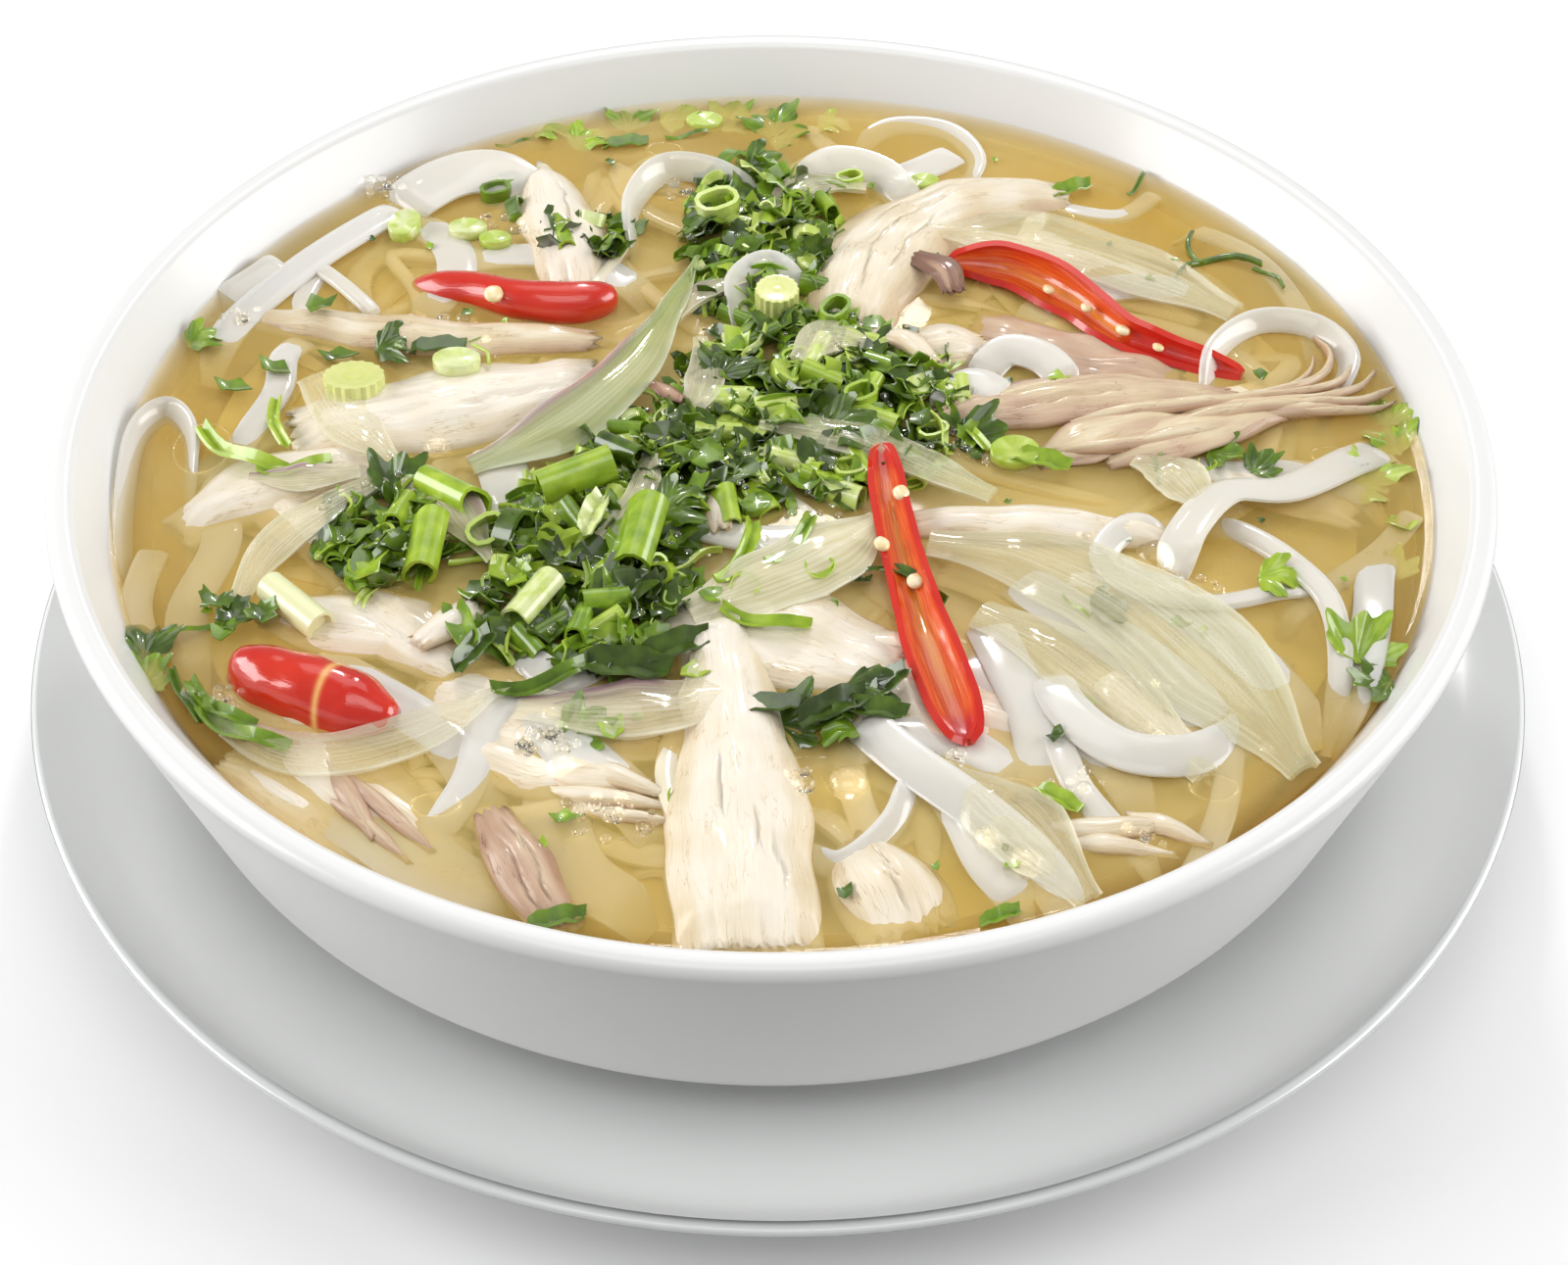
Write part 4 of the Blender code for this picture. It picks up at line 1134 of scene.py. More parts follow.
def meat_material():
    """Boiled chicken: fine fibres along the grain, cream to pinkish brown by shade, moist; painted shade
    darkens its hairline cracks.
    """
    material, tree, shader = new_material("boiled chicken", 0.34, Coat_Weight=0.45, Coat_Roughness=0.12)
    fibres = speckle(tree, 9, detail=5, stretch=(0.22, 6.0, 1), on="grain")
    patches = speckle(tree, 130, detail=3)
    cracks = hairline_cracks_and_shade(tree)
    level = maths(tree, "ADD", stored(tree, "shade"), band(tree, fibres, 0.3, 0.7, -0.05, 0.07))
    # painted shade: the colour darkens towards brown along the hairline cracks
    level = maths(tree, "MULTIPLY_ADD", cracks, 0.22, level)
    level = maths(tree, "ADD", level, band(tree, patches, 0.35, 0.7, -0.03, 0.06), clamp=True)
    colour = ramp(tree, level, (
        (0.0, (0.92, 0.84, 0.72)),
        (0.14, (0.87, 0.77, 0.60)),
        (0.30, (0.74, 0.60, 0.38)),
        (0.55, (0.60, 0.41, 0.28)),
        (0.80, (0.46, 0.27, 0.17)),
        (1.0, (0.22, 0.10, 0.06)),
    ))
    steep(tree, shader, colour, band(tree, fibres, 0.3, 0.7, 0.28, 0.45))
    relief(tree, shader, maths(tree, "MULTIPLY_ADD", cracks, -0.8, fibres), 0.35, 0.3 * MM)
    return material


def make_chicken():
    """Strips of torn meat, the ones sunk beside them, and bundles of shreds."""
    material = meat_material()
    for seed, (node_name, plan) in enumerate(CHICKEN.items()):
        piece = torn_meat(node_name + "_torn", *plan, seed)
        wear(piece, material, (node_name,))
    sunk = [torn_meat("sunk", *plan, 40 + seed) for seed, plan in enumerate(SUNK_MEAT)]
    wear(join(sunk, "chicken_sunk"), material, ())
    for seed, (node_name, plan) in enumerate(SHREDS.items(), start=60):
        shreds, thickness, shade = plan
        parts = [shred(route, width, min(thickness, 0.5 * width + 1), shade, seed + 9 * k)
                 for k, (route, width) in enumerate(shreds)]
        wear(join(parts, node_name + "_torn"), material, (node_name,))


# ---- onion ----------------------------------------------------------------------------------

# node: route, widths, arch, purple (0..1), tilt, body (0 clear to 1 solid)
ONION = {
    "onion_leaf": (((-47, -4, 54.6), (-35, 3, 55.6), (-24, 17, 56.2), (-17, 34, 56.4), (-13, 50, 55.4)),
                   (3, 10.5, 9.0, 4, 0.3), 1.8, 0.85, (12, -6), 0.80),
    "onion_centre": (((-2, 5, 55.8), (12, 2, 56), (22, -3, 55.4), (34, -10, 54.2)),
                     (2, 8, 6.5, 3), 1.6, 0.0, (0, 0), 0.5),
    "onion_wide": (((-12, -37, 54.4), (0, -31, 55.6), (9, -25, 55.8), (16.5, -16.5, 54.6)),
                   (5, 11, 12, 4), 1.2, 0.0, (10, 10), 0.85),
    "onion_left_upper": (((-73, 16, 56), (-67, 5, 56), (-58, -4, 54.8)), (7, 9, 2), 1.0, 0.0, (0, 0), 0.35),
    "onion_back_right": (((25, 59, 55), (45, 57, 54.2), (62, 49, 53.8), (77, 38, 53.2)),
                         (3, 15, 13, 5), 1.8, 0.0, (0, 0), 0.3),
    "onion_purple": (((-36, -56, 53.6), (-21, -57, 54.4), (-3, -54, 54.6)),
                     (4, 11, 6), 1.4, 1.2, (0, 0), 0.3),
    "onion_front_left": (((-80, -57, 53), (-66, -66, 54), (-50, -62, 54.4), (-37, -52, 54.6)),
                         (3, 7.5, 8, 1), 1.4, 0.5, (0, 0), 0.16),
    "onion_left": (((-80, -37, 53.4), (-74, -21, 54.6), (-60, -7, 55)), (2, 7, 3), 1.4, 0.0, (0, 0), 0.45),
    "onion_petal": (((24, -21, 54.2), (40, -26, 54.8), (58, -40, 54.6), (75, -67, 53)),
                    (5, 15, 20, 5), 2.4, 0.0, (6, 6), 0.34),
    "onion_petal_inner": (((31, -36, 53.6), (45, -47, 53.9), (61, -68, 53)),
                          (6, 13, 4), 1.8, 0.0, (0, 0), 0.34),
    "onion_front": (((24, -67, 53.4), (34, -78, 54), (43, -91, 53)), (3, 13, 4), 2.2, 0.0, (0, 0), 0.28),
}
# Small bits that lie among the herbs, as above
ONION_BITS = (
    (((-81, -7, 54.6), (-73, -8, 55.4), (-64, -6, 55)), (1, 4.5, 2), 1.0, 1.0, (20, 20)),
    (((-57, -8, 54.8), (-49, -14, 55.6), (-42, -26, 54.6)), (2, 7, 1), 1.6, 0.9, (10, 10)),
    (((-16, 33, 55.4), (-12, 40, 55.4), (-5, 44, 55)), (1.5, 4, 2), 1.0, 0.9, (0, 0)),
    (((-2, 62, 54.4), (6, 72, 55), (16, 72, 54.4)), (2, 7, 2), 1.4, 0.7, (0, 0)),
    (((-15, 4, 55.8), (-11, 14, 56.2), (-12, 27, 55.8)), (2, 6, 2), 1.2, 0.2, (0, 0)),
    (((-26, -22, 56), (-20, -14, 56.8), (-19, -3, 56.2)), (1.5, 5, 2), 1.4, 0.0, (0, 0)),
    (((4, 21, 56), (9, 27, 56.4), (15, 26, 56)), (3, 8, 3), 1.4, 0.0, (0, 0)),
    (((57, -1, 54), (63, -6, 54.8), (67, -13, 54)), (3, 9, 3), 1.6, 0.0, (0, 0)),
    (((-12, -55, 54.6), (-8, -45, 54.8), (-6, -34, 54.6)), (2, 6, 3), 1.0, 0.0, (0, 0)),
)
# How green the inner leaves are
ONION_GREEN = {"onion_leaf": 1.1, "onion_petal": 0.12, "onion_centre": 0.3, "onion_back_right": 0.15}
ONION_THICKNESS = 1.2
ONION_CUTS = (40, 14)
BIT_BODY = 0.6


def onion_piece(name, route, widths, arch, purple, tilt, body, seed, green=0.0):
    """A thin leaf of onion, arched across and drawn in to its ends."""
    piece = sheet(name, ONION_CUTS)
    lay_grain(piece, 4, 1)
    places = [vert.co.copy() for vert in piece.data.vertices]

    def shape(place):
        t, v, _ = place
        wobble = 1 + 0.10 * noise.noise(Vector((t * 5, math.copysign(2, v), seed)))
        half = width_along(widths, t) / 2 * wobble
        ripple = 0.35 * noise.noise(Vector((t * 7, v * 1.5, seed + 4)))
        vein = 0.015 * math.sin(v * 12 + seed)
        rise = arch * (1 - v * v) * min(half / 5, 1) + (ripple + vein) * min(half / 3, 1)
        return Vector((t, v * half * MM, rise * MM))

    sculpt(piece, shape)
    tones = [purple * (0.05 + ease(v, 0.30, 0.85) * (1 - ease(t, 0.5, 0.85))) for t, v, _ in places]
    mark(piece, "purple", tones)
    mark(piece, "green", [green * (0.55 + 0.45 * ease(t + 0.3 * v, 0.3, 1.0)) for t, v, _ in places])
    mark(piece, "body", [body] * len(places))
    mark(piece, "edge", [ease(abs(v), 0.75, 1.0) for _, v, _ in places])
    bend(piece, route, tilt)
    thicken(piece, ONION_THICKNESS * MM, 60)
    return piece


def onion_material():
    """Half-clear onion: faint pale veins along it, milky edges, some with a purple skin side."""
    material, tree, shader = new_material("onion", 0.12, Coat_Weight=1.0, Coat_Roughness=0.04)
    veins = speckle(tree, 4, detail=3, stretch=(0.12, 3.0, 1), on="grain")
    clouds = speckle(tree, 40, detail=3)
    flesh = ramp(tree, veins, (
        (0.35, (0.88, 0.80, 0.46)),
        (0.65, (0.95, 0.91, 0.70)),
    ))
    warm = blend_colour(tree, band(tree, clouds, 0.42, 0.65, 0.0, 0.6), flesh, (0.88, 0.83, 0.54))
    fresh = blend_colour(tree, stored(tree, "green"), warm, (0.40, 0.52, 0.16))
    skinned = maths(tree, "MULTIPLY", stored(tree, "purple"), 0.85)
    skin = blend_colour(tree, skinned, fresh, (0.36, 0.15, 0.24))
    rim = blend_colour(tree, maths(tree, "MULTIPLY", stored(tree, "edge"), 0.5), skin, (0.93, 0.92, 0.78))
    steep(tree, shader, rim, 0.12)
    body = maths(tree, "MULTIPLY_ADD", stored(tree, "body"), 0.52, band(tree, veins, 0.35, 0.65, 0.02, 0.20))
    body = maths(tree, "MULTIPLY_ADD", stored(tree, "edge"), 0.22, body)
    body = maths(tree, "MULTIPLY_ADD", stored(tree, "purple"), 0.35, body, clamp=True)
    tree.links.new(body, shader.inputs["Alpha"])
    relief(tree, shader, speckle(tree, 200, detail=3), 0.12, 0.3 * MM)
    return material


def make_onion():
    """The onion leaves, each its own piece, and the small bits as one."""
    material = onion_material()
    for seed, (node_name, plan) in enumerate(ONION.items()):
        piece = onion_piece(node_name + "_slice", *plan, seed, ONION_GREEN.get(node_name, 0.0))
        wear(piece, material, (node_name,))
    bits = [onion_piece("onion_bit", *plan, BIT_BODY, 30 + seed) for seed, plan in enumerate(ONION_BITS)]
    wear(join(bits, "onion_bits"), material, ())


# ---- chilli ---------------------------------------------------------------------------------

# node: route, widths, depth over width, roll of the open side, where the inside shows, slit depth
CHILLI_HALVES = {
    "chilli_back": (((30, 50, 55), (40, 48, 55.2), (50, 40, 55), (59, 30, 54.6), (76, 21.5, 53.8)),
                    (3.2, 6.2, 6.6, 5.2, 4.0, 3.0, 1.6), 0.5, 34, (-1.0, 0.66), 0.0),
    "chilli_front": (((17, -1, 57.4), (18.4, -16, 56.6), (22, -38, 55.6), (28, -62.5, 54.8)),
                     (2.8, 4.0, 4.2, 4.6, 5.4, 6.4, 6.2, 5.0), 0.30, 8, (0.06, 0.95), 0.9),
    "chilli_left": (((-77, -47, 54), (-70, -50.5, 54.8), (-62, -54, 54.8), (-54, -58, 54)),
                    (6.5, 9, 10, 9.5, 5), 0.55, 180, (2.0, 3.0), 0.0),
}
CHILLI_TIP = (((-62, 47, 50.4), (-51, 43.5, 53.2), (-42, 39, 54.6), (-33, 38, 54.8), (-26, 40.5, 54.6)),
              (5.6, 6.8, 6.4, 7.0, 7.4, 6.6))
POD_WALL = 1.1
POD_SWEEP = math.radians(74)
# Seeds and pale seed cores: place, size, turn
SEEDS = (
    ((-46.5, 37.5, 57.0), 3.8, 70),
    ((19.8, -12.5, 57.2), 3.2, 80),
    ((16.6, -24.0, 57.0), 3.0, 100),
    ((21.4, -31.0, 55.9), 3.0, 75),
    ((-66.5, -50.5, 57.4), 2.6, 80),
    ((57.5, 31.0, 55.2), 2.8, 130),
    ((52.0, 37.0, 55.2), 2.4, 130),
    ((63.0, 27.0, 54.8), 2.2, 130),
    ((46.0, 42.0, 55.2), 2.4, 120),
)
# Where along a pod an orange cut line crosses it
POD_STRIPES = {"chilli_left": 0.60}
POD_CUTS = (64, 20)
TIP_CUTS = 40
SEED_LEAN = 14


def half_pod(name, route, widths, depth, roll, shown, slit, seed, stripe):
    """Half of a split pod: a curved wall, open on one side, that closes to its ends."""
    piece = sheet(name, POD_CUTS)
    lay_grain(piece, 5, 1)
    places = [vert.co.copy() for vert in piece.data.vertices]
    turn = Matrix.Rotation(math.radians(roll), 3, "X")

    def shape(place):
        t, v, _ = place
        close = math.sqrt(max(1 - (2 * abs(t - 0.5)) ** 14, 0.0))
        half = width_along(widths, t) / 2 * (0.05 + 0.95 * close)
        half *= 1 + 0.07 * noise.noise(Vector((t * 7, v * 0.6, seed)))
        angle = v * POD_SWEEP
        across = math.sin(angle) / math.sin(POD_SWEEP) * half
        up = (1 - math.cos(angle)) / (1 - math.cos(POD_SWEEP)) * half * 2 * depth - half * depth
        up += 0.12 * noise.noise(Vector((t * 9, v * 2.2, seed + 3)))
        up -= slit * math.exp(-((v - 0.05) / 0.10) ** 2) * swell(t, 0.16, 0.24, 0.55, 0.66)
        return turn @ Vector((0, across * MM, up * MM)) + Vector((t, 0, 0))

    sculpt(piece, shape)
    bend(piece, route)
    count = len(piece.data.vertices)
    apply_modifier(piece, "SOLIDIFY", thickness=POD_WALL * MM, offset=-1.0)
    start, end = shown
    inside = [(1 - ease(abs(v), 0.62, 0.98)) * swell(t, start, start + 0.06, end - 0.06, end)
              for t, v, _ in places]
    rib = [math.exp(-(v / 0.2) ** 2) * swell(t, 0.1, 0.3, 0.7, 0.95) for t, v, _ in places]
    spare = [0.0] * (len(piece.data.vertices) - count)
    cut = [0.0] * count
    if stripe is not None:
        cut = [math.exp(-((t - stripe - 0.05 * v * v) / 0.018) ** 2) for t, v, _ in places]
    mark(piece, "inner", inside + spare)
    mark(piece, "rib", rib + spare)
    mark(piece, "stripe", cut + cut[:len(spare)])
    smooth(piece, 60)
    return piece


def whole_pod(name, route, widths):
    """The closed tip of a pod: a round finger that narrows to its end."""
    deselect()
    bpy.ops.mesh.primitive_cylinder_add(vertices=28, radius=1, depth=1, end_fill_type="NGON",
                                        location=(0.5, 0, 0), rotation=(0, math.pi / 2, 0))
    piece = named(name)
    cut_along(piece, (TIP_CUTS, 0, 0))
    lay_grain(piece, 5, 1)

    def shape(place):
        t = place.x
        close = math.sqrt(max(1 - (2 * abs(t - 0.5)) ** 9, 0.0))
        half = width_along(widths, t) / 2 * (0.05 + 0.95 * close)
        half *= 1 + 0.05 * noise.noise(Vector((t * 5, place.y, place.z)))
        return Vector((t, place.y * half * MM, place.z * half * MM))

    sculpt(piece, shape)
    bend(piece, route)
    for layer in ("inner", "rib", "stripe"):
        mark(piece, layer, [0.0] * len(piece.data.vertices))
    smooth(piece, 60)
    return piece


def chilli_material():
    """Glossy red skin; inside, orange flesh with a yellow rib and streaks along it."""
    material, tree, shader = new_material("chilli", 0.16, Coat_Weight=0.9, Coat_Roughness=0.04)
    clouds = speckle(tree, 90, detail=3)
    streaks = speckle(tree, 5, detail=4, stretch=(0.35, 3.0, 1), on="grain")
    skin = ramp(tree, clouds, ((0.3, (0.58, 0.012, 0.006)), (0.7, (0.70, 0.035, 0.012))))
    flesh = ramp(tree, streaks, (
        (0.30, (0.66, 0.040, 0.010)),
        (0.48, (0.74, 0.085, 0.012)),
        (0.62, (0.82, 0.17, 0.018)),
        (0.80, (0.90, 0.34, 0.05)),
    ))
    ribbed = blend_colour(tree, maths(tree, "MULTIPLY", stored(tree, "rib"), 0.6), flesh, (0.90, 0.42, 0.05))
    body = blend_colour(tree, stored(tree, "inner"), skin, ribbed)
    body = blend_colour(tree, stored(tree, "stripe"), body, (0.93, 0.50, 0.16))
    steep(tree, shader, body, 0.16)
    relief(tree, shader, streaks, 0.25, 0.3 * MM)
    return material


def seed_material():
    """Cream to yellow, a little rough."""
    material, tree, shader = new_material("chilli seed", 0.3, Coat_Weight=0.4, Coat_Roughness=0.1)
    clouds = speckle(tree, 700, detail=2)
    tone = ramp(tree, clouds, ((0.35, (0.86, 0.66, 0.30)), (0.65, (0.95, 0.86, 0.60))))
    tree.links.new(tone, shader.inputs["Base Color"])
    relief(tree, shader, clouds, 0.2, 0.2 * MM)
    return material


def seed_model():
    """A flat round seed with a pinched side and a thick rim."""
    deselect()
    bpy.ops.mesh.primitive_uv_sphere_add(segments=16, ring_count=8, radius=0.5)
    piece = named("seed_model")

    def shape(place):
        pinch = 1 - 0.25 * ease(place.x, 0.1, 0.5)
        flat = 0.42 + 0.16 * ease(math.hypot(place.x, place.y), 0.2, 0.45)
        return Vector((place.x, place.y * pinch * 0.85, place.z * flat))

    sculpt(piece, shape)
    smooth(piece)
    return piece


def make_chilli():
    """Split pods, a whole tip, and the seeds."""
    material = chilli_material()
    for seed, (node_name, plan) in enumerate(CHILLI_HALVES.items()):
        pod = half_pod(node_name + "_pod", *plan, seed, POD_STRIPES.get(node_name))
        wear(pod, material, (node_name,))
    wear(whole_pod("chilli_tip_pod", *CHILLI_TIP), material, ("chilli_tip",))
    model = seed_model()
    seeds = []
    for place, size, turn in SEEDS:
        spin = Matrix.Rotation(math.radians(turn), 4, "Z") @ Matrix.Rotation(math.radians(SEED_LEAN), 4, "X")
        seeds.append(copy_of(model, Matrix.Translation(at(*place)) @ spin @ Matrix.Scale(size * MM, 4), 0.0))
    discard(model)
    wear(join(seeds, "chilli_seeds"), seed_material(), ())


# ---- scallion and herbs ---------------------------------------------------------------------

# Mounds of chopped herbs (x, y, radius x, radius y) under each node
HERB_MOUNDS = {
    "herb_heap": ((-2, 57, 14, 24), (8, 13, 25, 24), (-14, -2, 17, 17), (-28, -27, 17, 25)),
    "herb_bunch_left": ((-59, -19, 10, 13),),
    "herb_bunch_back": ((-33, 58, 8, 7),),
}
HEAP_BASE = 52.6
HEAP_RISE = 2.4
# Size of the core under a heap, as a share of the heap's
CORE_SHARE = 0.84
PIECES_PER_SQUARE_CM = 15.0

# Single herbs that lie apart: (x, y, z), kind, size, turn, tilt, shade (0 dark to 1 bright)
STRAY_HERBS = (
    ((5, -58, 54.8), "sprig", 8.5, 10, 8, 0.12), ((13.5, -54, 55.2), "sprig", 8, -40, 10, 0.06),
    ((9, -57, 55.4), "blade", 11, 30, 10, 0.04), ((17, -52, 55.4), "blade", 8, 50, 8, 0.10),
    ((15, -57, 54.8), "blade", 9, -10, 8, 0.14),
    ((0, -57, 55.0), "blade", 10, 185, 8, 0.12), ((10, -61, 54.6), "sprig", 5.5, 200, 10, 0.35),
    ((-26, -60, 54.8), "sprig", 7, 30, 15, 0.35), ((-22, -61, 54.6), "bit", 5, 80, 10, 0.6),
    ((50, -35, 54.8), "sprig", 5.5, 20, 10, 0.05), ((45, -35, 54.6), "sliver", 6, -50, 0, 0.55),
    ((76, -28, 54.6), "sprig", 6.2, -10, 10, 0.6), ((87, -42, 55.6), "sprig", 9, 70, 8, 0.5),
    ((87, -50, 54.8), "sprig", 6.4, 190, 0, 0.25), ((46, 18, 55.2), "bit", 4, 0, 0, 0.6),
    ((52, 73, 53.8), "blade", 8, 25, 5, 0.45), ((64, 75, 53.6), "sliver", 8, 65, 0, 0.3),
    ((72, 56, 53.8), "stem", 9, 95, 0, 0.2), ((77, 52, 53.8), "stem", 12, 0, 0, 0.22),
    ((70, 50, 53.8), "stem", 6, 45, 0, 0.2), ((84, 48, 53.6), "stem", 7, -50, 0, 0.25),
    ((-75, 35, 56), "bit", 6, 40, 5, 0.25), ((-87, 16, 53.6), "bit", 6, -20, 0, 0.3),
    ((-81, 21, 53.6), "bit", 6, -35, 0, 0.25), ((-94, 30, 53.4), "sprig", 6.2, 30, 0, 0.45),
    ((-79, 6, 54.6), "strip", 12, -75, 0, 0.75), ((-84, -2, 54.6), "strip", 18, -35, 0, 0.7),
    ((-74, -6, 55.4), "strip", 12, 15, 0, 0.65), ((-79, -38, 54), "leaf", 7, 60, 14, 0.12),
    ((-75, -37, 54.4), "leaf", 6, 10, 20, 0.25), ((-82, -35, 54.2), "leaf", 6, 140, 16, 0.2),
    ((-80, -41, 54), "bit", 5, 70, 10, 0.3), ((-85, -40, 53.6), "sliver", 9, 200, 0, 0.4),
    ((-92, -42, 53.2), "sprig", 7.8, 100, 0, 0.15), ((-90, -48, 53.2), "sprig", 6.2, 60, 0, 0.45),
    ((-84, -54, 53.6), "sliver", 12, -60, 0, 0.2), ((-79, -57, 54), "strip", 14, -40, 0, 0.35),
    ((-75, -62, 54), "strip", 16, -30, 0, 0.4), ((-71, 24, 53.8), "bit", 6, 0, 0, 0.2),
    ((-62, 27, 54.4), "sprig", 7, 10, 10, 0.12), ((-55, 26, 54.4), "blade", 9, 5, 0, 0.15),
    ((-50, 28, 54.2), "sliver", 8, 20, 0, 0.5), ((-53, 60, 53.8), "disc", 6, 0, 0, 0.9),
    ((-48, 57, 53.8), "disc", 5, 0, 0, 0.8), ((-64, 61, 53.8), "disc", 7, 80, 0, 0.9),
    ((-51, 19, 57.2), "disc", 7, 0, 0, 0.95), ((-47, 21, 57.4), "stem", 6, -60, 10, 0.8),
    ((26, 74, 54.4), "disc", 5, 10, 0, 0.8), ((13, 74, 54.8), "ring", 4.5, 0, 0, 0.7),
    ((8, 73, 55), "strip", 10, -30, 0, 0.5), ((31, -94, 53.4), "blade", 6, 25, 0, 0.4),
    ((-28, -95, 53.2), "blade", 8, 15, 0, 0.3), ((-12, -75, 53.8), "curl", 8, 0, 0, 0.6),
    ((40, -73, 53.8), "blade", 7, -40, 0, 0.6), ((-28, -77, 53.4), "bit", 4, 0, 0, 0.4),
    ((-9, -35, 56), "bit", 5, -50, 0, 0.4), ((-1, -40, 55.4), "strip", 14, -15, 5, 0.6),
    ((-11, -50, 54.8), "bit", 5, 0, 0, 0.7), ((-32, -52, 54.8), "strip", 16, 25, 10, 0.25),
    ((-21, -49, 55.4), "blade", 13, -8, 12, 0.08), ((-14, -45, 55.4), "blade", 11, 25, 14, 0.06),
    ((-4, -26, 56.2), "strip", 15, 70, 10, 0.6), ((4, -24, 57), "strip", 13, 60, 0, 0.45),
    ((8, -31, 56.8), "curl", 9, 20, 0, 0.75), ((-3, -31, 56.4), "curl", 9, 160, 0, 0.75),
    ((22, -30, 54.6), "strip", 12, 140, 0, 0.15), ((13, -28, 54.6), "sliver", 8, 10, 0, 0.2),
    ((38, 0, 54.8), "disc", 7, 0, 20, 0.75), ((42, -2, 54.8), "blade", 9, -20, 10, 0.55),
    ((33, 5, 55.2), "sprig", 7.8, -10, 20, 0.12), ((60, -4, 54.6), "sliver", 7, 92, 0, 0.2),
    ((68, -4, 54.8), "curl", 6, 0, 0, 0.65), ((71, 1, 54.8), "sprig", 5.5, -20, 10, 0.3),
    ((77, -1, 54.4), "sprig", 5.5, 40, 0, 0.25), ((60, -39, 54.6), "bit", 4, 0, 0, 0.3),
    ((62, 1, 55.4), "sliver", 5, 60, 0, 0.3), ((-38, -95, 52.8), "bit", 4, 0, 0, 0.3),
    ((99, 14, 52.6), "sprig", 7, 80, 0, 0.6), ((98, 7, 52.4), "sprig", 7, 120, 0, 0.55),
    ((95, 0, 52.4), "sprig", 7.8, 60, 0, 0.8), ((93, -5, 52), "sprig", 6.2, 20, 0, 0.85),
    ((95, -22, 52), "sprig", 5.5, 100, 0, 0.85), ((97, -14, 52.2), "bit", 5, 0, 0, 0.75),
    ((-41, 93, 52.4), "sprig", 6.2, 0, 0, 0.6), ((-34, 90, 52.6), "sprig", 7, 40, 0, 0.6),
    ((-27, 97, 52.4), "sprig", 7, 90, 0, 0.45), ((-18, 98, 52.6), "sprig", 7, 10, 0, 0.6),
    ((-13, 95, 52.8), "disc", 6, 0, 0, 0.8), ((-8, 98, 52.4), "sprig", 7.8, 60, 0, 0.45),
    ((-2, 96, 52.6), "sprig", 8.6, 120, 0, 0.3), ((2, 92, 52.8), "sprig", 7, 0, 0, 0.35),
    ((-27, 87, 53.2), "blade", 8, 10, 0, 0.3), ((-16, 90, 53.2), "sliver", 8, 20, 0, 0.3),
    ((-47, 88, 52.6), "sliver", 7, 20, 0, 0.3), ((-47, 75, 53.6), "ring", 4, 0, 0, 0.5),
    ((-49, 71, 53.8), "ring", 5, 0, 0, 0.3), ((-45, 66, 53.8), "ring", 4.5, 90, 60, 0.25),
    ((10, 96, 52), "sprig", 5.5, 0, 0, 0.9), ((-2, 82, 53.4), "sprig", 7.8, 20, 0, 0.2),
    ((-8, 80, 53.6), "ring", 6, 40, 70, 0.35),
    ((-30, -9, 57), "tube", 7.0, 20, 0, 0.55), ((-20, -23, 57.2), "tube", 7.4, 80, 10, 0.5),
    ((-43, -21, 56.4), "ring", 6.0, 10, 30, 0.7), ((-23, -3, 57), "tube", 5.0, -40, 10, 0.1),
    ((-27, -18, 57.4), "blade", 9, 75, 5, 0.95), ((-35, -36, 56.6), "tube", 5.4, 60, 20, 0.95),
    ((-39, -21, 56.6), "ring", 6.4, 60, 75, 0.1), ((14, 11, 57.4), "ring", 5.0, 0, 15, 0.6),
    ((10, 33, 57.2), "ring", 5.4, 30, 10, 0.45), ((-10, 63, 57), "ring", 7.0, 0, 10, 0.85),
    ((-57, -8, 56.4), "sprig", 8.6, 80, 20, 0.15), ((-49, -12, 56.2), "tube", 6.4, -40, 15, 0.6),
    ((-52, -24, 56), "tube", 6.4, 85, 5, 0.6), ((-43, -46, 55.6), "blade", 9, 60, 10, 0.1),
    ((-45, -41, 55.8), "blade", 10, -70, 20, 0.4), ((-14, -15, 57), "sprig", 7.8, 30, 10, 0.2),
    ((-8, 20, 57), "sprig", 7.8, 80, 10, 0.1), ((12, 4, 57.2), "sprig", 8.6, 10, 10, 0.12),
    ((22, 16, 56.8), "sprig", 7.8, 150, 10, 0.1), ((-12, 60, 56.4), "sprig", 7.8, 200, 10, 0.15),
    ((6, 56, 56.4), "sprig", 7, 40, 10, 0.25), ((-22, -34, 56.8), "sprig", 8.6, 30, 10, 0.1),
)
# How often each kind falls, and its sizes
SHARES = (("leaf", 34), ("bit", 24), ("blade", 10), ("ring", 14), ("tube", 6), ("strip", 9), ("stem", 6),
          ("disc", 4))
HERB_SIZES = {"leaf": (5, 9), "bit": (2.5, 5.5), "blade": (4, 8), "ring": (3.0, 4.8), "tube": (3.2, 4.4),
              "strip": (7, 12), "stem": (6, 10), "disc": (4.4, 6)}
# Where a leaflet's fan is split, in radians from its middle
LEAFLET_SPLITS = (0.52, -0.56)
GREEN_KINDS = ("leaf", "bit", "blade", "sprig")
# Middle and spread of the leaves' shade, range of the cuts' shade, and spread of their tilts
GREEN_SHADE = (0.16, 0.25)
CUT_SHADE = (0.3, 0.9)
GREEN_TILT = 30
CUT_TILT = 45
# Crumbs afloat all over the broth: how many, within which radius, and their sizes
CRUMBS = 70
CRUMB_RADIUS = 94
CRUMB_SIZES = (1.2, 3.0)


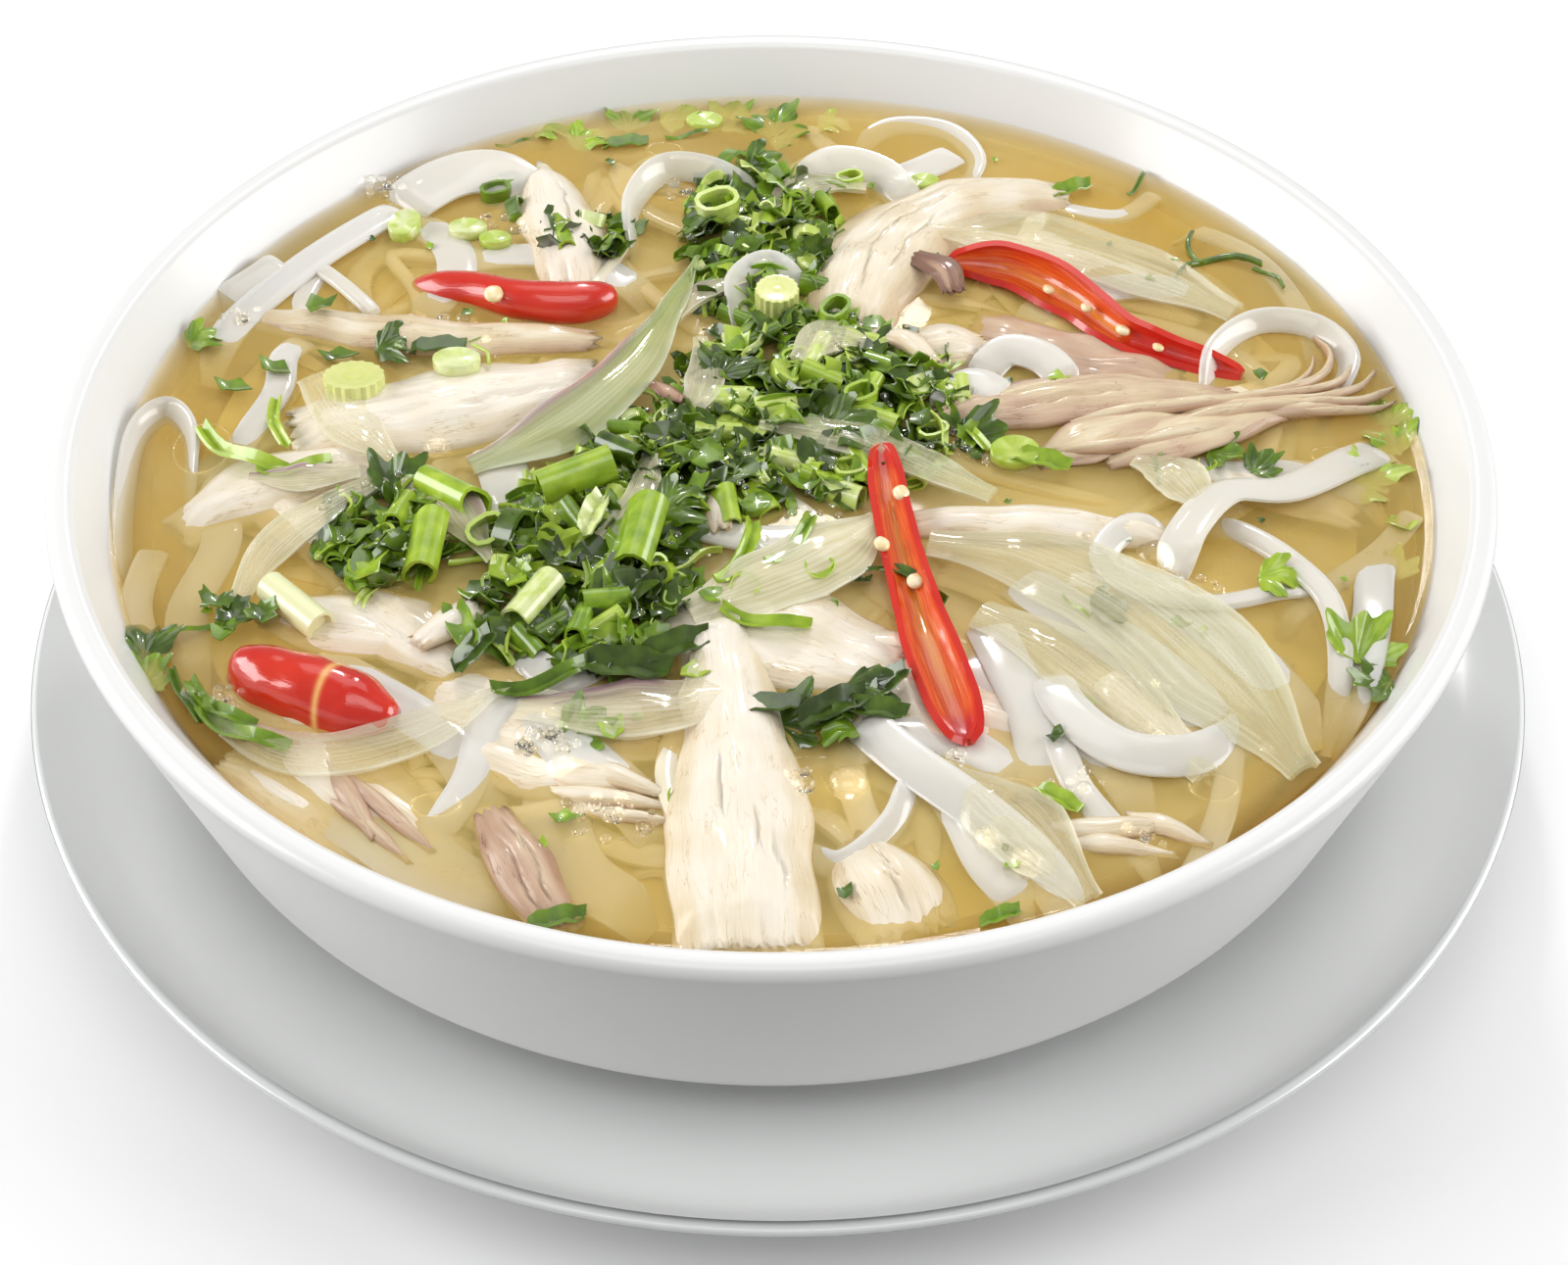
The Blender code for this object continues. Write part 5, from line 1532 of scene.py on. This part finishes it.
def leaf_model(name, lobes, points, seed):
    """A thin cut leaf about one unit wide: uneven lobes and teeth, folded and curled."""
    deselect()
    bpy.ops.mesh.primitive_circle_add(vertices=points, radius=0.5, fill_type="TRIFAN")
    piece = named(name)
    phase = 1.7 * seed

    def shape(place):
        turn = math.atan2(place.y, place.x)
        lobe = 0.62 + 0.38 * abs(math.cos(lobes * turn / 2 + phase)) ** 0.8
        tooth = 1 + 0.13 * math.cos(points / 2 * turn)
        uneven = 1 + 0.55 * noise.noise(Vector((2.2 * place.x, 2.2 * place.y, seed)))
        x, y = place.x * lobe * tooth * uneven, place.y * lobe * tooth * uneven * 0.85
        curl = 0.7 * x * x - 0.25 * y + 0.42 * abs(y) + 0.10 * math.sin(9 * x + phase)
        return Vector((x, y, curl))

    sculpt(piece, shape)
    thicken(piece, 0.035, 60)
    return piece


def sprig_model(name, seed):
    """A leaflet one unit long: a fan with three shallow toothed lobes on a narrow foot."""
    deselect()
    bpy.ops.mesh.primitive_circle_add(vertices=48, radius=1.0, fill_type="TRIFAN")
    piece = named(name)
    open_edit(piece)
    bpy.ops.mesh.subdivide(number_cuts=1)
    close_edit()

    def shape(place):
        turn = math.atan2(place.y, place.x)
        fan = math.exp(-(turn / 1.5) ** 4)
        split = 1 - 0.42 * sum(math.exp(-((turn - aim) / 0.16) ** 2) for aim in LEAFLET_SPLITS)
        tooth = 1 + 0.08 * math.cos(17 * turn + seed) * ease(place.length, 0.4, 1.0)
        uneven = 1 + 0.35 * noise.noise(Vector((1.2 * turn, seed, 0.3)))
        reach = place.length * (0.08 + 0.92 * fan * split) * tooth * uneven
        x, y = reach * math.cos(turn), reach * math.sin(turn)
        curl = 0.16 * math.sin(4 * x + seed) + 0.22 * abs(y) + 0.07 * math.sin(9 * turn + seed) * reach
        return Vector((x - 0.4, y, curl - 0.1))

    sculpt(piece, shape)
    thicken(piece, 0.03, 60)
    return piece


def blade_model():
    """A creased piece of scallion leaf, one unit long."""
    piece = sheet("blade_model", (6, 2), 0.40, -0.5)

    def crease(p):
        rise = 0.75 * abs(p.y) - 0.25 * p.x * p.x + 0.04 * math.sin(14 * p.x)
        return Vector((p.x + 0.25 * p.y, p.y * (1 - 1.2 * p.x * p.x), rise))

    sculpt(piece, crease)
    thicken(piece, 0.035, 50)
    return piece


def ring_model(name, height, wall):
    """A cut of scallion tube, one unit across, a little squashed."""
    deselect()
    bpy.ops.mesh.primitive_cylinder_add(vertices=12, radius=0.5, depth=height, end_fill_type="NOTHING")
    piece = named(name)
    sculpt(piece, lambda p: Vector((p.x * 1.12, p.y * 0.84 + 0.08 * math.sin(5 * p.x), p.z)))
    thicken(piece, wall, 60, offset=-1.0)
    return piece


def strip_model(name, turns, width):
    """A long shred of scallion that curls, one unit long along its bend."""
    piece = sheet(name, (10, 2), width, -0.5)

    def curl(place):
        angle = place.x * turns
        radius = 1 / max(turns, 0.01)
        return Vector((radius * math.sin(angle), radius * (1 - math.cos(angle)) + place.y * math.cos(angle),
                       0.9 * abs(place.y) + 0.05 * math.sin(7 * place.x)))

    sculpt(piece, curl)
    thicken(piece, 0.03, 50)
    return piece


def stem_model():
    """A thin wavy stalk, one unit long."""
    deselect()
    bpy.ops.mesh.primitive_cylinder_add(vertices=7, radius=0.055, depth=1, rotation=(0, math.pi / 2, 0))
    piece = named("stem_model")
    cut_along(piece, (5, 0, 0))
    sculpt(piece, lambda p: p + Vector((0, 0.12 * math.cos(4 * p.x), 0.04 * math.sin(6 * p.x))))
    smooth(piece, 60)
    return piece


def disc_model():
    """A solid cut through a scallion's stalk, one unit across: squashed, sunk in the middle of both faces,
    and bevelled.
    """
    deselect()
    bpy.ops.mesh.primitive_cylinder_add(vertices=16, radius=0.5, depth=0.34, end_fill_type="TRIFAN")
    piece = named("disc_model")

    def press(p):
        sunk = 0.55 if math.hypot(p.x, p.y) < 0.1 else 1
        return Vector((p.x * 1.12, p.y * 0.80, p.z * sunk))

    sculpt(piece, press)
    apply_modifier(piece, "BEVEL", width=0.04, segments=1)
    smooth(piece, 50)
    return piece


def herb_models():
    """One or more models of each kind, every one about a unit long or across."""
    return {
        "leaf": [leaf_model("leaf_model_a", 3, 18, 1), leaf_model("leaf_model_b", 5, 20, 2),
                 leaf_model("leaf_model_c", 4, 16, 3), leaf_model("leaf_model_d", 3, 14, 8)],
        "bit": [leaf_model("bit_model_a", 2, 8, 4), leaf_model("bit_model_b", 1, 7, 5),
                leaf_model("bit_model_c", 2, 9, 6)],
        "sprig": [sprig_model("sprig_model_a", 0), sprig_model("sprig_model_b", 4)],
        "blade": [blade_model()],
        "ring": [ring_model("ring_model", 0.55, 0.12)],
        "tube": [ring_model("tube_model", 1.7, 0.10)],
        "strip": [strip_model("strip_model", 0.8, 0.16)],
        "sliver": [strip_model("sliver_model", 0.3, 0.10)],
        "curl": [strip_model("curl_model", 4.2, 0.14)],
        "stem": [stem_model()],
        "disc": [disc_model()],
    }


def herb_copy(models, rng, place, kind, size, turn, tilt, shade):
    """A copy of one of a kind's models, tilted, turned, sized and put in its place."""
    spin = Matrix.Rotation(math.radians(turn), 4, "Z") @ Matrix.Rotation(math.radians(tilt), 4, "X")
    if kind == "tube":
        spin = spin @ Matrix.Rotation(math.radians(80), 4, "Y")
    fit = Matrix.Translation(at(*place)) @ spin @ Matrix.Scale(size * MM, 4)
    return copy_of(rng.choice(models[kind]), fit, shade)


def heap_height(x, y, mounds):
    """How high a heap of mounds stands at a place, from 0 at its edge to 1."""
    return max(max(1 - ((x - mx) / rx) ** 2 - ((y - my) / ry) ** 2, 0) for mx, my, rx, ry in mounds) ** 0.6


def scattered_herbs(models, rng, mounds):
    """Chopped herbs over a heap: leaves lie flatter, tubes and rings stand every way."""
    kinds = [kind for kind, share in SHARES for _ in range(share)]
    items = []
    for mx, my, rx, ry in mounds:
        for _ in range(int(math.pi * rx * ry / 100 * PIECES_PER_SQUARE_CM)):
            across, back = spot_in_disc(rng)
            x, y = mx + rx * across, my + ry * back
            height = heap_height(x, y, mounds)
            kind = rng.choice(kinds)
            low, high = HERB_SIZES[kind]
            z = HEAP_BASE + HEAP_RISE * height + rng.uniform(-0.6, 1.0)
            if kind in GREEN_KINDS:
                tilt = rng.gauss(0, GREEN_TILT)
                shade = min(abs(rng.gauss(*GREEN_SHADE)), 1)
            else:
                tilt = rng.gauss(0, CUT_TILT)
                shade = rng.uniform(*CUT_SHADE)
            size, spin = rng.uniform(low, high), rng.uniform(0, 360)
            items.append((kind, herb_copy(models, rng, (x, y, z), kind, size, spin, tilt, shade)))
    return items


def heap_core(name, mounds, seed):
    """The middle of a heap, a relief under the loose pieces in the darkest green: partly dark coriander,
    partly painted shade in the gaps between the pieces.
    """
    parts = []
    for mx, my, rx, ry in mounds:
        deselect()
        bpy.ops.mesh.primitive_uv_sphere_add(segments=48, ring_count=20, radius=1)
        part = named("mound")

        def shape(place, mx=mx, my=my, rx=rx, ry=ry):
            spot = Vector((mx + place.x * rx * CORE_SHARE, my + place.y * ry * CORE_SHARE, 0))
            lump = noise.noise(Vector((spot.x / 2.2, spot.y / 2.2, seed)))
            edge = 1 + 0.24 * noise.noise(Vector((place.x * 3, place.y * 3, seed + 5)))
            height = HEAP_BASE - 1.6 + place.z * 2.6 + 0.8 * lump
            return at(mx + place.x * rx * CORE_SHARE * edge, my + place.y * ry * CORE_SHARE * edge, height)

        sculpt(part, shape)
        # painted shade: the core's darkest green stands partly for the shade between the loose pieces
        parts.append(tint(part, 0.04))
    core = join(parts, name)
    smooth(core)
    return core


def herb_material():
    """Wet chopped greens: dark coriander to bright scallion by shade."""
    material, tree, shader = new_material("chopped herbs", 0.30, Coat_Weight=0.8, Coat_Roughness=0.05)
    clouds = speckle(tree, 330, detail=3)
    level = maths(tree, "ADD", stored(tree, "shade"), band(tree, clouds, 0.3, 0.7, -0.10, 0.14), clamp=True)
    colour = ramp(tree, level, (
        (0.0, (0.030, 0.058, 0.003)),
        (0.18, (0.075, 0.140, 0.007)),
        (0.42, (0.19, 0.33, 0.014)),
        (0.68, (0.40, 0.56, 0.036)),
        (0.88, (0.56, 0.68, 0.14)),
        (1.0, (0.76, 0.82, 0.42)),
    ))
    steep(tree, shader, colour, 0.30)
    relief(tree, shader, clouds, 0.3, 0.25 * MM)
    return material


# Thick cuts of stalk (node, place, radius, height, lean), and the white length's route and radius
STALK_SLICES = (
    ("scallion_slice_left", (-67, 14, 56.6), 4.6, 3.4, -8),
    ("scallion_slice_back", (0.5, 37.5, 56.4), 3.4, 4.6, 8),
)
STALK_LENGTH = (((-74.5, -31.5, 54.4), (-70.5, -35.5, 54.8), (-66, -40, 54.4)), 2.5)


def slice_material():
    """Cut stalk: lime ribs on its side, pale rings on its cut face."""
    material, tree, shader = new_material("scallion stalk", 0.25, Coat_Weight=0.6, Coat_Roughness=0.08)
    clouds = speckle(tree, 240, detail=3)
    lime = ramp(tree, clouds, ((0.3, (0.58, 0.64, 0.09)), (0.7, (0.72, 0.74, 0.20))))
    colour = blend_colour(tree, stored(tree, "shade"), lime, (0.84, 0.85, 0.50))
    steep(tree, shader, colour, 0.25)
    relief(tree, shader, clouds, 0.15, 0.2 * MM)
    return material


def stalk_slice(name, place, radius, height, lean):
    """A thick round cut of stalk with ribs down its side and sunk rings on its top."""
    deselect()
    bpy.ops.mesh.primitive_cylinder_add(vertices=72, radius=radius * MM, depth=height * MM,
                                        location=(0, 0, 0), end_fill_type="NGON")
    piece = named(name)
    open_edit(piece, "FACE")
    pick_faces_across(piece, 2)
    for step in range(5):
        bpy.ops.mesh.inset(thickness=radius * 0.17 * MM, depth=(-0.22 if step % 2 else 0.12) * MM)
    close_edit()

    def ribs(p):
        reach = math.hypot(p.x, p.y)
        rib = 1 + 0.035 * math.cos(18 * math.atan2(p.y, p.x)) * ease(reach, radius * 0.9 * MM, radius * MM)
        return Vector((p.x * rib * 1.04, p.y * rib * 0.96, p.z))

    tones = [ease(abs(v.co.z), height * 0.40 * MM, height * 0.5 * MM) * 0.35 for v in piece.data.vertices]
    sculpt(piece, ribs)
    mark(piece, "shade", tones)
    piece.data.transform(Matrix.Translation(at(*place)) @ Matrix.Rotation(math.radians(lean), 4, "X"))
    smooth(piece, 35)
    return piece


def stalk_tube(name, route, radius):
    """A short white length of stalk, hollow at its cut ends."""
    deselect()
    bpy.ops.mesh.primitive_cylinder_add(vertices=28, radius=radius * MM, depth=1, location=(0.5, 0, 0),
                                        rotation=(0, math.pi / 2, 0), end_fill_type="NGON")
    piece = named(name)
    open_edit(piece, "FACE")
    pick_faces_across(piece, 0)
    bpy.ops.mesh.inset(thickness=0.5 * MM)
    bpy.ops.mesh.inset(thickness=0.3 * MM, depth=-0.06)
    close_edit()
    bend(piece, route)
    tint(piece, 1.0)
    smooth(piece, 40)
    return piece


def make_scallion():
    """Two thick slices and one white length of stalk, each its own piece."""
    material = slice_material()
    for node_name, *plan in STALK_SLICES:
        wear(stalk_slice(node_name + "_cut", *plan), material, (node_name,))
    wear(stalk_tube("scallion_stem_cut", *STALK_LENGTH), material, ("scallion_stem",))


def make_herbs():
    """A core under each heap, and all loose leaves and all loose cuts as two pieces."""
    rng = random.Random(5)
    material = herb_material()
    models = herb_models()
    for seed, (node_name, mounds) in enumerate(HERB_MOUNDS.items()):
        wear(heap_core(node_name + "_core", mounds, seed), material, (node_name,))
    mounds = [mound for group in HERB_MOUNDS.values() for mound in group]
    items = scattered_herbs(models, rng, mounds)
    for _ in range(CRUMBS):
        across, back = spot_in_disc(rng)
        place = (CRUMB_RADIUS * across, CRUMB_RADIUS * back, SOUP_LEVEL / MM + rng.uniform(0.2, 1.2))
        size, spin = rng.uniform(*CRUMB_SIZES), rng.uniform(0, 360)
        items.append(("bit", herb_copy(models, rng, place, "bit", size, spin, 0, rng.uniform(0.1, 0.7))))
    for place, kind, size, turn, tilt, shade in STRAY_HERBS:
        items.append((kind, herb_copy(models, rng, place, kind, size, turn, tilt, shade)))
    leaves = [item for kind, item in items if kind in GREEN_KINDS]
    cuts = [item for kind, item in items if kind not in GREEN_KINDS]
    wear(join(leaves, "herb_leaves"), material, ())
    wear(join(cuts, "scallion_cuts"), material, ())
    discard(*[model for group in models.values() for model in group])


# ---- bubbles and oil ------------------------------------------------------------------------

# Single bubbles (x, y, radius) and clusters (x, y, spread, how many)
BUBBLES = ((11, -70, 2.9), (58, -23, 3.1), (35, -85, 2.6), (33, -77, 2.2), (-2, 66, 3.4), (-53, 2, 2.0),
           (47, -18, 1.6), (38, -17, 1.4), (64, -32, 1.8), (5, -71, 1.6), (70, -63, 1.3), (30, -81, 1.8),
           (-88, 34, 1.6), (-34, -62, 2.2), (-29, -67, 2.4), (-31, -57, 1.8), (-38, -22, 3.0), (-28, 3, 2.0))
CLUSTERS = ((-67, 73, 5, 22), (-49, 75, 3, 9), (-31, -63, 5, 26), (-22, -77, 7, 30), (2, -70, 5, 26),
            (24, -66, 4, 12), (-79, -54, 5, 16), (-54, 30, 12, 26), (-65, -21, 4, 10), (55, -49, 4, 9),
            (53, -60, 4, 8), (51, -80, 4, 10), (44, -70, 5, 8), (-17, 72, 3, 8), (-88, 36, 4, 10),
            (28, 2, 8, 14), (9, -3, 10, 18), (62, -30, 5, 8), (-20, -30, 14, 22), (-48, 62, 6, 12),
            (47, -20, 6, 8))
CLUSTER_SIZES = (0.4, 1.3)
# A cluster's spread along Y as a share of that along X
CLUSTER_DEPTH = 0.6
# Rings of oil: x, y, radius x, radius y
OIL_RINGS = ((52, -61, 5, 3.0), (34, -71, 3.4, 2.6), (-90, 2, 4.5, 6), (88, 2, 3, 2), (48, 66, 4, 2.4),
             (62, -70, 3.4, 2.4), (-20, 86, 3, 2), (72, -64, 2.6, 2.2), (-46, -74, 3.4, 2.2),
             (40, -88, 2.6, 2), (66, -57, 3, 1.8), (-68, -66, 2.6, 1.8))
# Drops on the herbs: x, y, spread, how many
DROPS = ((8, 13, 24, 70), (-2, 57, 14, 30), (-14, -2, 16, 40), (-28, -27, 16, 50), (-59, -19, 12, 24),
         (6, -24, 10, 20))
DROP_SIZES = (0.3, 0.8)
DROP_HEIGHTS = (54.5, 57.5)
# How dark a bubble's shadow is
BUBBLE_SHADOW = 0.15


def bubble_model(name, segments, rings):
    """A dome of broth, flat below, one unit in radius."""
    deselect()
    bpy.ops.mesh.primitive_uv_sphere_add(segments=segments, ring_count=rings, radius=1)
    piece = named(name)
    open_edit(piece)
    bpy.ops.mesh.bisect(plane_co=(0, 0, -0.15), plane_no=(0, 0, 1), clear_inner=True, use_fill=True)
    close_edit()
    sculpt(piece, lambda p: Vector((p.x, p.y, p.z * 0.8)))
    smooth(piece, 50)
    return piece


def oil_ring_model():
    """The thin raised edge of a drop of oil, one unit in radius."""
    deselect()
    bpy.ops.mesh.primitive_torus_add(major_radius=1, minor_radius=0.05, major_segments=32, minor_segments=6)
    piece = named("oil_ring_model")
    smooth(piece)
    return piece


def bubble_material():
    """Thin clear domes and drops that shine at their edges and cast only a faint shadow."""
    material, tree, shader = new_material("bubble", 0.0, IOR=1.14, Transmission_Weight=1.0, Coat_Weight=1.0,
                                          Coat_Roughness=0.02)
    clouds = speckle(tree, 300, detail=2)
    tone = ramp(tree, clouds, ((0.3, (0.99, 0.96, 0.88)), (0.7, (1.0, 0.99, 0.96))))
    tree.links.new(tone, shader.inputs["Base Color"])
    path = tree.nodes.new("ShaderNodeLightPath")
    alpha = maths(tree, "MULTIPLY_ADD", path.outputs["Is Shadow Ray"], BUBBLE_SHADOW - 1.0, 1.0)
    tree.links.new(alpha, shader.inputs["Alpha"])
    return material


def dome(model, place, radius):
    """A copy of a bubble or drop at a place, of a radius in millimetres."""
    return copy_of(model, Matrix.Translation(place) @ Matrix.Scale(radius * MM, 4), 0.0)


def make_bubbles():
    """Bubbles and rings of oil on the broth, and drops on the herbs, as one piece."""
    rng = random.Random(3)
    large = bubble_model("large_bubble_model", 20, 12)
    small = bubble_model("small_bubble_model", 10, 6)
    level = SOUP_LEVEL / MM
    plans = [(x, y, radius) for x, y, radius in BUBBLES]
    for x, y, spread, count in CLUSTERS:
        for _ in range(count):
            across, back = spot_in_disc(rng)
            radius = rng.uniform(*CLUSTER_SIZES)
            plans.append((x + spread * across, y + CLUSTER_DEPTH * spread * back, radius))
    items = []
    for x, y, radius in plans:
        lift = rng.uniform(0.3, 1.6)
        model = large if radius > CLUSTER_SIZES[1] else small
        items.append(dome(model, at(x, y, level + lift), radius))
    ring = oil_ring_model()
    for x, y, radius_x, radius_y in OIL_RINGS:
        flat = Matrix.Diagonal((radius_x * MM, radius_y * MM, 3 * MM, 1))
        items.append(copy_of(ring, Matrix.Translation(at(x, y, level + 0.1)) @ flat, 0.0))
    for x, y, spread, count in DROPS:
        for _ in range(count):
            across, back = spot_in_disc(rng)
            place = at(x + spread * across, y + spread * back, rng.uniform(*DROP_HEIGHTS))
            items.append(dome(small, place, rng.uniform(*DROP_SIZES)))
    discard(large, small, ring)
    wear(join(items, "bubbles_and_oil"), bubble_material(), ())


# ---- build ----------------------------------------------------------------------------------

set_camera()
set_light()
set_floor()
make_plate()
make_bowl()
make_broth()
make_noodles()
make_noodle_core()
make_chicken()
make_onion()
make_chilli()
make_scallion()
make_herbs()
make_bubbles()
